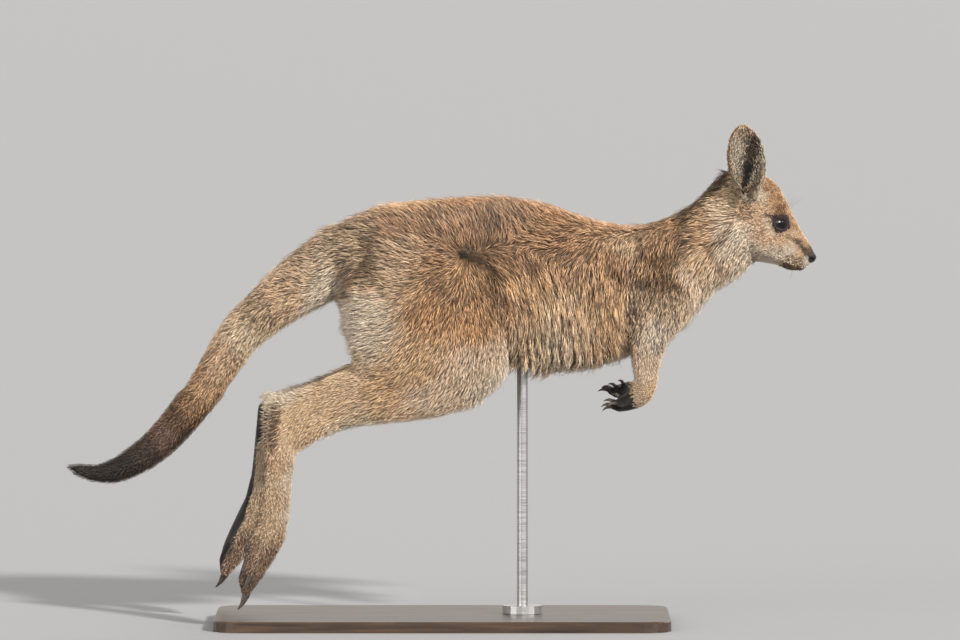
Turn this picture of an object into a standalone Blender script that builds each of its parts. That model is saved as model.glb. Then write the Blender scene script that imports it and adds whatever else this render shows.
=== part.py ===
"""A young grey kangaroo in mid-leap, life size, as a still model on a plain display stand.

The frame: +X runs towards the nose, +Y to the animal's left, +Z up. The origin is on the
underside of the stand's base, below the middle of the model. Tables are in millimetres.

The coat's outer surface is modelled whole. Each length of body is a loft through oval
sections, the lofts are fused into one surface, and thin cuts part it into named pieces.
"""

import math

import bmesh
import bpy
import numpy as np
from mathutils import Matrix, Vector

MM = 0.001

# ---------------------------------------------------------------- driving sizes, millimetres
SEAM = 0.5            # width of a cut between two pieces of the body
FIT_GAP = 0.35        # clearance round a piece that is let into another
BODY_VOXEL = 3.0
BODY_TRIANGLES = 2600
HAND_VOXEL = 1.3
HAND_TRIANGLES = 240

EYE_CENTRE = (370.5, 22.0, 443.0)
EYE_RADIUS = 9.0
NOSE_CENTRE = (405.3, 0.0, 404.8)
NOSE_RADII = (6.2, 8.0, 6.6)

BASE_SIZE = (500.0, 240.0, 12.0)
BASE_CORNER = 30.0
ROD_X = 88.0
ROD_RADIUS = 6.0
ROD_TOP = 345.0
COLLAR_RADIUS = 22.0
COLLAR_HEIGHT = 9.0

# Oval sections on the midline, each through a point of the upper outline and one of the lower:
# upper x, z, lower x, z, half width.
BARREL = [
    (-120, 436, -113, 366, 34),
    (-99, 448, -107, 338, 44),
    (-66, 460, -88, 318, 55),
    (-25, 465, -38, 302, 62),
    (20, 468.5, 15, 290, 65),
    (65, 469.5, 68, 285, 65),
    (105, 464.5, 112, 281, 64),
    (150, 450.5, 160, 283, 59),
    (188, 440.5, 205, 297, 53),
    (216, 441, 244, 313, 48),
    (240, 446.5, 266, 329, 44),
    (262, 457, 283, 348, 40),
    (280, 469.5, 301, 368, 36.5),
    (296, 487.5, 321, 381, 33.5),
    (309, 502, 338, 392, 31),
]
HEAD = [
    (322, 504, 336, 396, 28),
    (340, 501, 345, 399, 30.5),
    (356, 494.5, 352, 399, 31),
    (369.5, 483.5, 361, 397.5, 29.5),
    (379, 467, 369, 395.5, 26),
    (386, 450.5, 376, 392, 22),
    (393.5, 436.5, 384, 389.8, 18.5),
    (400.5, 426.5, 392, 389, 15.5),
    (405.5, 418.5, 399, 391, 12.5),
    (408, 412, 403.5, 396, 9),
]
# Sections of the limbs on the right side: front or upper x, z, back or lower x, z, outward
# distance of the middle from the midline, half width.
THIGH = [
    (8, 424, -82, 416, 34, 18),
    (44, 398, -99, 386, 43, 32),
    (60, 368, -105, 352, 48, 38),
    (66, 338, -101, 318, 50, 39),
    (71, 312, -97, 293, 51, 38),
    (73, 290, -90, 268, 51, 34),
    (67, 270, -60, 248, 50, 27),
    (48, 254, -30, 241, 49, 18),
]
SHANK = [
    (44, 302, 56, 261, 50, 20),
    (8, 302, 12, 236, 50, 26),
    (-40, 300, -38, 227, 49, 27),
    (-80, 294, -78, 223, 47, 25),
    (-112, 281, -107, 217, 43, 21.5),
    (-140, 268.5, -133, 206.5, 39.5, 18.5),
    (-165, 259.5, -155, 193, 38, 17),
    (-184, 252, -170, 190, 38, 15),
]
FOOT = [
    (-175, 251, -190, 248, 38, 9),
    (-160, 232, -196, 238, 38, 15.5),
    (-157, 206, -196.5, 216, 38, 17),
    (-162, 181, -196, 183, 38, 16),
    (-165, 150, -197, 152, 38, 16),
    (-167, 120, -202, 126, 38, 17),
    (-171, 100, -210, 103, 38, 19),
    (-181, 79, -216.5, 83, 38, 17),
    (-192, 62, -222, 66, 38, 14),
    (-201, 48, -225, 52, 38, 11.5),
    (-207, 40, -221, 38, 38, 8),
]
UPPER_ARM = [
    (284, 392, 240, 402, 24, 12),
    (285, 372, 224, 382, 30, 18),
    (276, 348, 213, 358, 34, 20),
    (262, 328, 208, 336, 37, 18.5),
    (250, 315, 206, 318, 38, 16.5),
    (243, 305, 206, 305, 38, 14),
]
FOREARM = [
    (251, 319, 206, 322, 38, 16),
    (245, 306, 205.5, 308, 38, 15),
    (240, 290, 207.5, 290, 37, 13),
    (236.5, 276, 210.5, 278, 36.5, 11.5),
    (234.5, 264, 212, 268, 36, 10.5),
    (230, 255, 209, 262, 36, 9.5),
]
PALM = [
    (234, 266, 213.5, 271, 36, 9.8),
    (229, 252.5, 211.5, 265, 36, 10.5),
    (218, 243, 208.5, 261, 36, 11.5),
    (204, 238, 201, 256.5, 36, 12),
    (193, 237, 192.5, 251, 36, 10),
]

# Round lengths, each as a line of centres: x, outward distance, z, half depth, half width.
TAIL = [
    (-78, 0, 404, 40, 33),
    (-107, 0, 402.5, 40, 34),
    (-134, 0, 388.5, 34.5, 31.5),
    (-163, 0, 369.5, 30.5, 28.5),
    (-191, 0, 348.5, 27, 25.5),
    (-225, 0, 316.5, 23.5, 22.5),
    (-261, 0, 261, 19.4, 19),
    (-301, 0, 211, 17.4, 17),
    (-331, 0, 185, 15.4, 15),
    (-360, 0, 169.5, 12.4, 12),
    (-381, 0, 166.3, 9.2, 9),
    (-399, 0, 170.3, 6.2, 6),
    (-412, 0, 174, 2.6, 2.5),
]
FIFTH_TOE = [
    (-184, 52, 108, 7, 7),
    (-195, 53.5, 88, 7.5, 7.5),
    (-206, 52.5, 68, 6.6, 6.6),
    (-211, 52, 58, 4.6, 4.6),
]
TWIN_TOES = [
    (-188, 22, 122, 4.5, 5.5),
    (-199, 20.5, 100, 5, 6.5),
    (-207, 20, 84, 5, 6.5),
    (-211, 20, 76, 3.6, 5.5),
]
# Digits of the forepaw: root x, outward distance, z; how far its tip lies along, outwards, up.
FINGERS = {
    "1": ((203, 29, 247), (-9, -4, 6)),
    "2": ((198, 31, 244), (-11, -3, 4)),
    "3": ((197, 35.5, 243), (-12, -1, 1.5)),
    "4": ((197, 40, 243), (-11, 2, -0.5)),
    "5": ((200, 44, 244), (-9, 4, 2)),
}
FINGER_RADIUS = 3.3
FINGER_CLAW = 12.0
# Claws of the hind foot: root, tip, root radius, bow of the curve.
TOE_CLAWS = {
    "fourth": ((-214, 38, 44), (-224, 38, 20), 5.4, 2.2),
    "fifth": ((-210, 52, 60), (-218, 52, 43), 3.6, 1.5),
    "third": ((-209.5, 22.6, 79), (-217, 22.6, 66), 2.0, 1.0),
    "second": ((-209.5, 17.4, 79), (-217, 17.4, 66), 2.0, 1.0),
}

# Rounded masses that the plain lofts miss: centre x, outward distance, z, radii along x, y, z.
MASSES = {
    "cheek": ((356, 16, 424), (20, 14.5, 18)),
    "brow": ((366, 16, 447), (16, 12.5, 14)),
    "ear_root": ((325, 17, 488), (15, 12, 15)),
    "haunch": ((-40, 32, 400), (44, 38, 42)),
    "rump": ((-88, 14, 338), (21, 22, 28)),
}

# How the left hind foot and hand differ from the right: where the joint lies, how far it is
# moved along x and z, and how it turns, in degrees: back, outwards, and in towards the middle.
ANKLE = (-176, 38, 232)
WRIST = (223, 36, 262)
FOOT_POSE = {"right": ((0, 0), 0, 3, 0), "left": ((-9, -1), 5.5, 17, 0)}
HAND_POSE = {"right": ((0, 0), 0, 0, 0), "left": ((1, 2), 18, 0, 20)}

# The ear: back line from root to tip, the way its cup faces, and for each row its share of the
# length, its half width and how far the rim wraps round in degrees.
EAR_ROOT = (334.5, 21, 470)
EAR_TIP = (330.2, 33, 549.5)
EAR_FACING = (0.12, 0.98, 0.05)
EAR_ROWS = [
    (0.00, 9.0, 165),
    (0.08, 11.0, 160),
    (0.16, 13.5, 149),
    (0.25, 16.0, 127),
    (0.35, 17.8, 101),
    (0.46, 18.9, 84),
    (0.58, 19.7, 75),
    (0.71, 18.4, 66),
    (0.82, 15.6, 58),
    (0.91, 11.6, 48),
    (0.975, 6.2, 36),
    (1.00, 2.6, 24),
]
EAR_COLUMNS = 9
EAR_THICKNESS = 4.0

# Each limb parts from the trunk under an arch that goes on down past the limb's end: how far
# out from the midline it begins and ends, middle of the arc x, z, its radii, the degrees it
# covers, and the corners that close it below.
BEHIND_LEG = [(-212, 284), (-236, 236), (-270, 170), (-270, -20)]
HIP_ARCH = ((12, 110), (-18, 334), (92, 93), 198, [*BEHIND_LEG, (74, -20)])
SHOULDER_ARCH = ((20, 80), (236, 352), (38, 45), 180, [(198, 200), (274, 200)])
# Plates that part a limb at its middle joint: middle x, z, length, and how far each drops
# towards its front, in degrees.
KNEE = (-38, 293.5, 226.4, 8)
ELBOW = (236, 310, 76.6, -8)

COLOURS = {
    "coat": ((0.36, 0.24, 0.145), 0.9, 0.0),
    "dark_skin": ((0.025, 0.021, 0.02), 0.55, 0.0),
    "claw": ((0.03, 0.027, 0.026), 0.35, 0.0),
    "eye": ((0.012, 0.009, 0.008), 0.08, 0.0),
    "board": ((0.06, 0.032, 0.018), 0.4, 0.0),
    "steel": ((0.45, 0.45, 0.46), 0.32, 1.0),
}
SIDES = {"right": -1, "left": 1}


# ---------------------------------------------------------------- small helpers
def collection(name):
    made = bpy.data.collections.new(name)
    bpy.context.scene.collection.children.link(made)
    return made


def material(name):
    colour, roughness, metallic = COLOURS[name]
    made = bpy.data.materials.new(name)
    made.use_nodes = True
    shader = made.node_tree.nodes["Principled BSDF"]
    shader.inputs["Base Color"].default_value = (*colour, 1)
    shader.inputs["Roughness"].default_value = roughness
    shader.inputs["Metallic"].default_value = metallic
    made.diffuse_color = (*colour, 1)
    return made


def object_of(bm, name, group):
    """A new object holding the bmesh, with its faces turned outwards."""
    bmesh.ops.recalc_face_normals(bm, faces=bm.faces)
    mesh = bpy.data.meshes.new(name)
    bm.to_mesh(mesh)
    bm.free()
    made = bpy.data.objects.new(name, mesh)
    group.objects.link(made)
    return made


def evaluated(obj, name, group):
    """A new plain object holding what the modifiers of obj make, in world space."""
    bpy.context.view_layer.update()
    graph = bpy.context.evaluated_depsgraph_get()
    mesh = bpy.data.meshes.new_from_object(obj.evaluated_get(graph), depsgraph=graph)
    mesh.transform(obj.matrix_world)
    made = bpy.data.objects.new(name, mesh)
    group.objects.link(made)
    return made


def remove(*objects):
    for obj in objects:
        bpy.data.objects.remove(obj)


def at(x, y, z):
    return Vector((x, y, z)) * MM


def posed(obj, joint, side, pose):
    """Moves and turns a piece at its joint, as the pose of its side says."""
    (along, up), back, outward, inward = pose[side]
    x, y, z = joint
    middle = at(x, y * SIDES[side], z)
    turn = Matrix.Rotation(math.radians(back), 4, "Y")
    spread = Matrix.Rotation(math.radians(outward) * SIDES[side], 4, "X")
    inner = Matrix.Rotation(math.radians(inward) * SIDES[side], 4, "Z")
    shift = Matrix.Translation(middle + at(along, 0, up))
    obj.data.transform(shift @ inner @ spread @ turn @ Matrix.Translation(-middle))
    return obj


# ---------------------------------------------------------------- lofts
def smooth_rows(rows, steps):
    """Points of a curve through the rows (Catmull-Rom), with `steps` for each gap."""
    rows = np.array(rows, float)
    ends = np.vstack([2 * rows[0] - rows[1], rows, 2 * rows[-1] - rows[-2]])
    found = []
    for a, b, c, d in zip(ends, ends[1:], ends[2:], ends[3:]):
        for t in np.arange(steps) / steps:
            linear = (c - a) * t
            square = (2 * a - 5 * b + 4 * c - d) * t**2
            cubic = (3 * b - a - 3 * c + d) * t**3
            found.append(0.5 * (2 * b + linear + square + cubic))
    found.append(rows[-1])
    return np.array(found)


def loft(name, rows, group, steps=3, sides=24, dome=0.6, dome_rings=2):
    """A closed tube through ovals, each given by two opposite points, its y and half width."""
    rows = smooth_rows(rows, steps)
    flat = np.zeros(len(rows))
    upper = np.column_stack([rows[:, 0], flat, rows[:, 1]])
    lower = np.column_stack([rows[:, 2], flat, rows[:, 3]])
    centres = (upper + lower) / 2 + np.outer(rows[:, 4], [0, 1, 0])
    depths = (upper - lower) / 2
    widths = np.outer(rows[:, 5], [0, 1, 0])
    turns = np.arange(sides) * 2 * math.pi / sides

    bm = bmesh.new()

    def ring(i, shift=(0, 0, 0), scale=1.0):
        middle = centres[i] + shift
        return [
            bm.verts.new(
                (middle + (depths[i] * math.cos(a) + widths[i] * math.sin(a)) * scale) * MM
            )
            for a in turns
        ]

    def cap(i, inner):
        """The rings of a dome over an end, and its pole."""
        along = centres[i] - centres[inner]
        along /= np.linalg.norm(along)
        reach = dome * min(np.linalg.norm(depths[i]), rows[i, 5])
        tilts = [math.pi / 2 * (k + 1) / (dome_rings + 1) for k in range(dome_rings)]
        rings = [ring(i, along * reach * math.sin(a), math.cos(a)) for a in tilts]
        return rings, bm.verts.new((centres[i] + along * reach) * MM)

    first_rings, first_pole = cap(0, 1)
    last_rings, last_pole = cap(len(rows) - 1, -2)
    rings = first_rings[::-1] + [ring(i) for i in range(len(rows))] + last_rings
    for low, high in zip(rings, rings[1:]):
        for k in range(sides):
            n = (k + 1) % sides
            bm.faces.new((low[k], low[n], high[n], high[k]))
    for k in range(sides):
        n = (k + 1) % sides
        bm.faces.new((rings[-1][k], rings[-1][n], last_pole))
        bm.faces.new((rings[0][n], rings[0][k], first_pole))
    return object_of(bm, name, group)


def midline(rows):
    return [(*row[:4], 0, row[4]) for row in rows]


def on_side(rows, side):
    return [(*row[:4], row[4] * SIDES[side], row[5]) for row in rows]


def round_rows(path, side="left"):
    """Turns a line of centres into sections that stand square to it."""
    path = np.array(path, float)
    path[:, 1] *= SIDES[side]
    along = np.gradient(path[:, [0, 2]], axis=0)
    along /= np.linalg.norm(along, axis=1)[:, None]
    rows = []
    for (x, y, z, deep, wide), (dx, dz) in zip(path, along):
        rows.append((x - dz * deep, z + dx * deep, x + dz * deep, z - dx * deep, y, wide))
    return rows


def ball(name, centre, radii, group, segments=24, rings=14):
    bm = bmesh.new()
    place = Matrix.Translation(at(*centre)) @ Matrix.Diagonal((*at(*radii), 1))
    bmesh.ops.create_uvsphere(bm, u_segments=segments, v_segments=rings, radius=1, matrix=place)
    return object_of(bm, name, group)


def outward(side, point):
    x, y, z = point
    return (x, SIDES[side] * y, z)


# ---------------------------------------------------------------- fusing and parting
def fuse(name, pieces, group, voxel, smoothing, triangles):
    """One closed surface round all the pieces, smoothed and thinned out to few triangles."""
    bm = bmesh.new()
    for piece in pieces:
        bm.from_mesh(piece.data)
    rough = object_of(bm, name + "_rough", group)
    remesh = rough.modifiers.new("voxels", "REMESH")
    remesh.mode = "VOXEL"
    remesh.voxel_size = voxel * MM
    smooth = rough.modifiers.new("smooth", "SMOOTH")
    smooth.factor = 0.5
    smooth.iterations = smoothing
    whole = evaluated(rough, name + "_whole", group)
    remove(rough, *pieces)
    thin = whole.modifiers.new("thin", "DECIMATE")
    thin.ratio = triangles / (2 * len(whole.data.polygons))
    made = evaluated(whole, name, group)
    remove(whole)
    return made


def subtract(obj, cutters):
    for cutter in cutters:
        cut = obj.modifiers.new(cutter.name, "BOOLEAN")
        cut.operation = "DIFFERENCE"
        cut.object = cutter
    return obj


def disc_cut(name, point, normal, radius, group, thickness=SEAM):
    """A thin disc that parts a limb square to its length."""
    turn = Vector(normal).normalized().to_track_quat("Z", "Y").to_matrix().to_4x4()
    place = Matrix.Translation(at(*point)) @ turn
    bm = bmesh.new()
    bmesh.ops.create_cone(bm, cap_ends=True, segments=20, radius1=radius * MM,
                          radius2=radius * MM, depth=thickness * MM, matrix=place)
    return object_of(bm, name, group)


def arch_cut(name, side, arch, group, steps):
    """A thin wall, shaped like an arch, that parts a limb from the trunk."""
    reach, (x, z), (long, high), span, corners = arch
    turns = [math.radians(span) * k / steps for k in range(steps + 1)]
    outline = [(x + long * math.cos(a), z + high * math.sin(a)) for a in turns] + corners
    bm = bmesh.new()
    near, far = [
        bm.faces.new([bm.verts.new(at(px, SIDES[side] * y, pz)) for px, pz in outline])
        for y in reach
    ]
    bmesh.ops.bridge_loops(bm, edges=[*near.edges, *far.edges])
    solid = object_of(bm, name + "_solid", group)
    wall = solid.modifiers.new("wall", "SOLIDIFY")
    wall.thickness = SEAM * MM
    wall.offset = 0
    wall.use_even_offset = True
    made = evaluated(solid, name, group)
    remove(solid)
    return made


def plate_cut(name, side, plate, arch, group):
    """A thin plate under an arch, that parts a limb at its middle joint."""
    x, z, length, drop = plate
    near, far = arch[0]
    middle = at(x, SIDES[side] * (near + far) / 2, z)
    tilt = Matrix.Rotation(math.radians(drop), 4, "Y")
    size = Matrix.Diagonal((*at(length, far - near + SEAM / 2, SEAM), 1))
    bm = bmesh.new()
    bmesh.ops.create_cube(bm, size=1, matrix=Matrix.Translation(middle) @ tilt @ size)
    return object_of(bm, name, group)


def islands(obj):
    """The separate closed bodies of a mesh, each as its own bmesh."""
    bm = bmesh.new()
    bm.from_mesh(obj.data)
    bm.verts.ensure_lookup_table()
    seen = set()
    for start in bm.verts:
        if start in seen:
            continue
        seen.add(start)
        group, edge = [start], [start]
        while edge:
            vert = edge.pop()
            for link in vert.link_edges:
                other = link.other_vert(vert)
                if other not in seen:
                    seen.add(other)
                    group.append(other)
                    edge.append(other)
        found = bmesh.new()
        made = {v: found.verts.new(v.co) for v in group}
        for face in bm.faces:
            corners = [made[v] for v in face.verts if v in made]
            if corners and not found.faces.get(corners):
                found.faces.new(corners)
        yield found
    bm.free()


def cleaned(bm):
    bmesh.ops.remove_doubles(bm, verts=bm.verts, dist=0.03 * MM)
    bmesh.ops.dissolve_degenerate(bm, dist=0.03 * MM, edges=bm.edges)
    bmesh.ops.dissolve_limit(bm, angle_limit=math.radians(3), verts=bm.verts, edges=bm.edges)
    bmesh.ops.triangulate(bm, faces=bm.faces)
    return bm


def finished(obj, name, finish, model):
    """Names a piece, gives it its material and puts it in the model's collection."""
    obj.name = name
    obj.data.name = name
    obj.data.materials.clear()
    obj.data.materials.append(FINISHES[finish])
    for old in list(obj.users_collection):
        old.objects.unlink(obj)
    model.objects.link(obj)
    obj.data.shade_smooth()
    obj.data.set_sharp_from_angle(angle=math.radians(40))
    return obj


def largest_body(obj, name, finish, group, model):
    """What the modifiers of obj make, without crumbs, as a finished piece."""
    cut = evaluated(obj, name + "_cut", group)
    bodies = sorted(islands(cut), key=lambda bm: -abs(bm.calc_volume()))
    remove(obj, cut)
    for crumb in bodies[1:]:
        crumb.free()
    return finished(object_of(cleaned(bodies[0]), name, group), name, finish, model)


def grown(obj, amount, group):
    """A copy of obj with its surface moved outwards, for use as a cutter."""
    copy = bpy.data.objects.new(obj.name + "_copy", obj.data.copy())
    group.objects.link(copy)
    move = copy.modifiers.new("grow", "DISPLACE")
    move.strength = amount * MM
    move.mid_level = 0
    made = evaluated(copy, obj.name + "_seat", group)
    remove(copy)
    return made


# ---------------------------------------------------------------- the animal's body
def body_lofts(group):
    """Every length of the body that is fused into the one coat surface."""
    made = [
        loft("barrel", midline(BARREL), group, 3, 32),
        loft("skull", midline(HEAD), group, 3, 28, 0.35),
        loft("tail", round_rows(TAIL), group, 3, 20),
    ]
    for side in SIDES:
        made.append(loft("thigh", on_side(THIGH, side), group, 3, 26))
        made.append(loft("upper_arm", on_side(UPPER_ARM, side), group, 3, 18))
        made.append(loft("forearm", on_side(FOREARM, side), group, 3, 16))
        shank = [list(row) for row in on_side(SHANK, side)]
        along, up = FOOT_POSE[side][0]
        for i, row in enumerate(shank):
            share = i / (len(shank) - 1)
            row[0] += along * share
            row[1] += up * share
            row[2] += along * share
            row[3] += up * share
        made.append(loft("shank", shank, group, 3, 22))
        hanging = [
            loft("foot", on_side(FOOT, side), group, 3, 20),
            loft("fifth_toe", round_rows(FIFTH_TOE, side), group, 3, 12),
            loft("twin_toes", round_rows(TWIN_TOES, side), group, 3, 12),
        ]
        made += [posed(piece, ANKLE, side, FOOT_POSE) for piece in hanging]
        for name, (centre, radii) in MASSES.items():
            made.append(ball(name, outward(side, centre), radii, group))
    return made


def cuts(group):
    """The thin cuts, each named for the two pieces it parts."""
    made = [
        disc_cut("head_neck", (329, 0, 445), (1.0, 0, 0.10), 62, group),
        disc_cut("neck_trunk", (262, 0, 398), (0.82, 0, 0.57), 70, group),
        disc_cut("trunk_tail", (-124.5, 0, 395), (-0.966, 0, -0.257), 52, group),
        disc_cut("tail_1_2", (-190, 0, 349), (-0.72, 0, -0.69), 42, group),
        disc_cut("tail_2_3", (-260, 0, 262), (-0.60, 0, -0.80), 38, group),
        disc_cut("tail_3_4", (-331, 0, 185), (-0.84, 0, -0.54), 30, group),
    ]
    for side in SIDES:
        out = SIDES[side]
        ankle = disc_cut("ankle", (-179, out * 38, 198), (0.40, 0, 1), 34, group)
        made += [
            arch_cut("hip", side, HIP_ARCH, group, 16),
            plate_cut("knee", side, KNEE, HIP_ARCH, group),
            arch_cut("shoulder", side, SHOULDER_ARCH, group, 12),
            plate_cut("elbow", side, ELBOW, SHOULDER_ARCH, group),
            posed(ankle, ANKLE, side, FOOT_POSE),
            disc_cut("wrist", (223, out * 36, 268), (-0.28, 0, 1), 18, group),
        ]
    return made


# The middle of each piece of the parted body, to tell the pieces apart.
PLACES = {
    "head": (367, 0, 436),
    "neck": (292, 0, 425),
    "trunk": (60, 0, 375),
    "tail_root": (-150, 0, 378),
    "tail_upper": (-228, 0, 310),
    "tail_lower": (-298, 0, 218),
    "tail_tip": (-365, 0, 172),
}
LIMB_PLACES = {
    "thigh": (-14, 55, 350),
    "shank": (-60, 45, 250),
    "foot": (-190, 38, 110),
    "upper_arm": (243, 38, 345),
    "forearm": (226, 37, 288),
    "palm_stub": (221, 36, 258),
}


def parted_body(group, model):
    """Fuses the lofts and cuts them apart: the named pieces, and the whole a little grown."""
    whole = fuse("body", body_lofts(group), group, BODY_VOXEL, 6, BODY_TRIANGLES)
    swollen = grown(whole, FIT_GAP, group)
    subtract(whole, cuts(group))
    cut = evaluated(whole, "body_cut", group)
    remove(whole)
    places = dict(PLACES)
    for name, place in LIMB_PLACES.items():
        for side in SIDES:
            places[f"{name}_{side}"] = outward(side, place)
    found = {}
    for bm in islands(cut):
        if abs(bm.calc_volume()) < 300 * MM**3:
            bm.free()
            continue
        corners = [v.co for v in bm.verts]
        low = Vector([min(c[k] for c in corners) for k in range(3)])
        high = Vector([max(c[k] for c in corners) for k in range(3)])
        middle = (low + high) / 2 / MM
        name = min(places, key=lambda n: (Vector(places[n]) - middle).length)
        piece = object_of(cleaned(bm), name, group)
        if name.startswith("palm_stub"):
            remove(piece)
        else:
            found[name] = finished(piece, name, "coat", model)
    remove(cut)
    return found, swollen


def claw(name, root, tip, radius, bow, group, sides=7):
    """A curved, tapering claw from root to tip."""
    start, end = Vector(root), Vector(tip)
    along = end - start
    bend = along.cross(Vector((0, 1, 0))).normalized()
    path = []
    for t in (0.0, 0.35, 0.7, 1.0):
        x, y, z = start + along * t + bend * bow * math.sin(math.pi * t)
        size = radius * (1 - 0.88 * t**1.5)
        path.append((x, y, z, size, size * 0.72))
    return loft(name, round_rows(path), group, 1, sides, 0.4, 0)


def hand(side, group, model):
    """A forepaw with five short fingers, cut square at the wrist, and its five claws."""
    pieces = [loft("palm", on_side(PALM, side), group, 2, 16)]
    claws = []
    size = FINGER_RADIUS
    for number, (root, reach) in FINGERS.items():
        start = Vector(outward(side, root))
        step = Vector(outward(side, reach))
        bend = start + step * 0.55 - Vector((0, 0, 1.6))
        spots = ((start - step * 0.5, 1.0), (start, 1.0), (bend, 0.96), (start + step, 0.8))
        path = [(*spot, size * share, size * share) for spot, share in spots]
        pieces.append(loft("finger", round_rows(path), group, 2, 10))
        heading = step.normalized()
        base = start + step + heading * 0.8
        tip = base + heading * FINGER_CLAW * 0.86 - Vector((0, 0, FINGER_CLAW * 0.35))
        claws.append(claw(f"claw_{side}_finger_{number}", base, tip, 2.1, -1.6, group, 6))
    palm = fuse("hand", pieces, group, HAND_VOXEL, 3, HAND_TRIANGLES)
    for piece in (palm, *claws):
        posed(piece, WRIST, side, HAND_POSE)
    above = Vector((-0.28, 0, 1)).normalized() * 20
    middle = Vector((223, SIDES[side] * 36, 268)) + above
    block = disc_cut("above_wrist", middle, above, 18, group, 40 + SEAM)
    for made in claws:
        finished(made, made.name, "claw", model)
    subtract(palm, [block, *[grown(c, FIT_GAP, group) for c in claws]])
    largest_body(palm, f"hand_{side}", "dark_skin", group, model)


def toe_claws(side, foot, group, model):
    seats = []
    for name, (root, tip, radius, bow) in TOE_CLAWS.items():
        made = claw(f"claw_{side}_{name}_toe", outward(side, root), outward(side, tip),
                    radius, bow, group)
        posed(made, ANKLE, side, FOOT_POSE)
        finished(made, made.name, "claw", model)
        seats.append(grown(made, FIT_GAP, group))
    subtract(foot, seats)


def ear(side, group):
    """A cupped leaf: each row is an arc that wraps round less towards the tip."""
    root, tip = Vector(outward(side, EAR_ROOT)), Vector(outward(side, EAR_TIP))
    along = (tip - root).normalized()
    facing = Vector(outward(side, EAR_FACING))
    facing = (facing - along * facing.dot(along)).normalized()
    across = along.cross(facing)
    bm = bmesh.new()
    rows = []
    for share, half, wrap in EAR_ROWS:
        wrap = math.radians(wrap)
        radius = half / math.sin(min(wrap, math.pi / 2))
        back = root.lerp(tip, share)
        row = []
        for k in range(EAR_COLUMNS):
            a = wrap * (2 * k / (EAR_COLUMNS - 1) - 1)
            point = back + across * radius * math.sin(a) + facing * radius * (1 - math.cos(a))
            row.append(bm.verts.new(point * MM))
        rows.append(row)
    for low, high in zip(rows, rows[1:]):
        for k in range(EAR_COLUMNS - 1):
            bm.faces.new((low[k], low[k + 1], high[k + 1], high[k]))
    leaf = object_of(bm, "leaf", group)
    wall = leaf.modifiers.new("wall", "SOLIDIFY")
    wall.thickness = EAR_THICKNESS * MM
    wall.offset = 0
    wall.use_even_offset = True
    return leaf


# ---------------------------------------------------------------- the stand
def upright(name, radius, low, high, group):
    bm = bmesh.new()
    place = Matrix.Translation(at(ROD_X, 0, (low + high) / 2))
    bmesh.ops.create_cone(bm, cap_ends=True, segments=20, radius1=radius * MM,
                          radius2=radius * MM, depth=(high - low) * MM, matrix=place)
    return object_of(bm, name, group)


def stand(group, model):
    """A flat board with rounded corners, a steel rod and the collar at its foot."""
    long, deep, thick = BASE_SIZE
    bm = bmesh.new()
    place = Matrix.Translation(at(0, 0, thick / 2)) @ Matrix.Diagonal((*at(*BASE_SIZE), 1))
    bmesh.ops.create_cube(bm, size=1, matrix=place)
    corners = [e for e in bm.edges if abs(e.verts[0].co.z - e.verts[1].co.z) > thick * MM / 2]
    bmesh.ops.bevel(bm, geom=corners, offset=BASE_CORNER * MM, segments=6, affect="EDGES",
                    profile=0.5)
    top = [e for e in bm.edges if min(v.co.z for v in e.verts) > thick * MM * 0.9]
    bmesh.ops.bevel(bm, geom=top, offset=1.5 * MM, segments=1, affect="EDGES", profile=0.5)
    finished(object_of(bm, "base", group), "stand_base", "board", model)

    foot = thick + FIT_GAP
    rod = upright("rod", ROD_RADIUS, foot, ROD_TOP, group)
    finished(rod, "stand_rod", "steel", model)
    collar = upright("collar", COLLAR_RADIUS, foot, foot + COLLAR_HEIGHT, group)
    finished(collar, "stand_collar", "steel", model)
    bore = ROD_RADIUS + FIT_GAP
    subtract(collar, [upright("collar_bore", bore, foot - 5, foot + COLLAR_HEIGHT + 5, group)])
    return upright("rod_hole", bore, 100, ROD_TOP + FIT_GAP, group)


# ---------------------------------------------------------------- assembly
def main():
    shop = collection("cutters")
    model = collection("young_grey_kangaroo")
    pieces, swollen = parted_body(shop, model)
    subtract(pieces["trunk"], [stand(shop, model)])

    head = pieces["head"]
    seat = EYE_RADIUS + FIT_GAP
    for side in SIDES:
        centre = outward(side, EYE_CENTRE)
        eye = ball("eye", centre, [EYE_RADIUS] * 3, shop, 12, 8)
        finished(eye, f"eye_{side}", "eye", model)
        subtract(head, [ball(f"socket_{side}", centre, [seat] * 3, shop, 12, 8)])
        leaf = subtract(ear(side, shop), [swollen])
        largest_body(leaf, f"ear_{side}", "coat", shop, model)
        hand(side, shop, model)
        toe_claws(side, pieces[f"foot_{side}"], shop, model)
    nose = ball("nose", NOSE_CENTRE, NOSE_RADII, shop, 12, 8)
    finished(nose, "nose", "dark_skin", model)
    subtract(head, [ball("nose_seat", NOSE_CENTRE, [r + FIT_GAP for r in NOSE_RADII], shop, 12, 8)])
    for obj in shop.objects:
        obj.hide_render = True
        obj.display_type = "WIRE"


for obj in list(bpy.data.objects):
    bpy.data.objects.remove(obj)
FINISHES = {name: material(name) for name in COLOURS}
main()
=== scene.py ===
import math

import bmesh
import bpy
import numpy as np
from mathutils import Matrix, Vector
from mathutils.bvhtree import BVHTree
from mathutils.kdtree import KDTree


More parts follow.
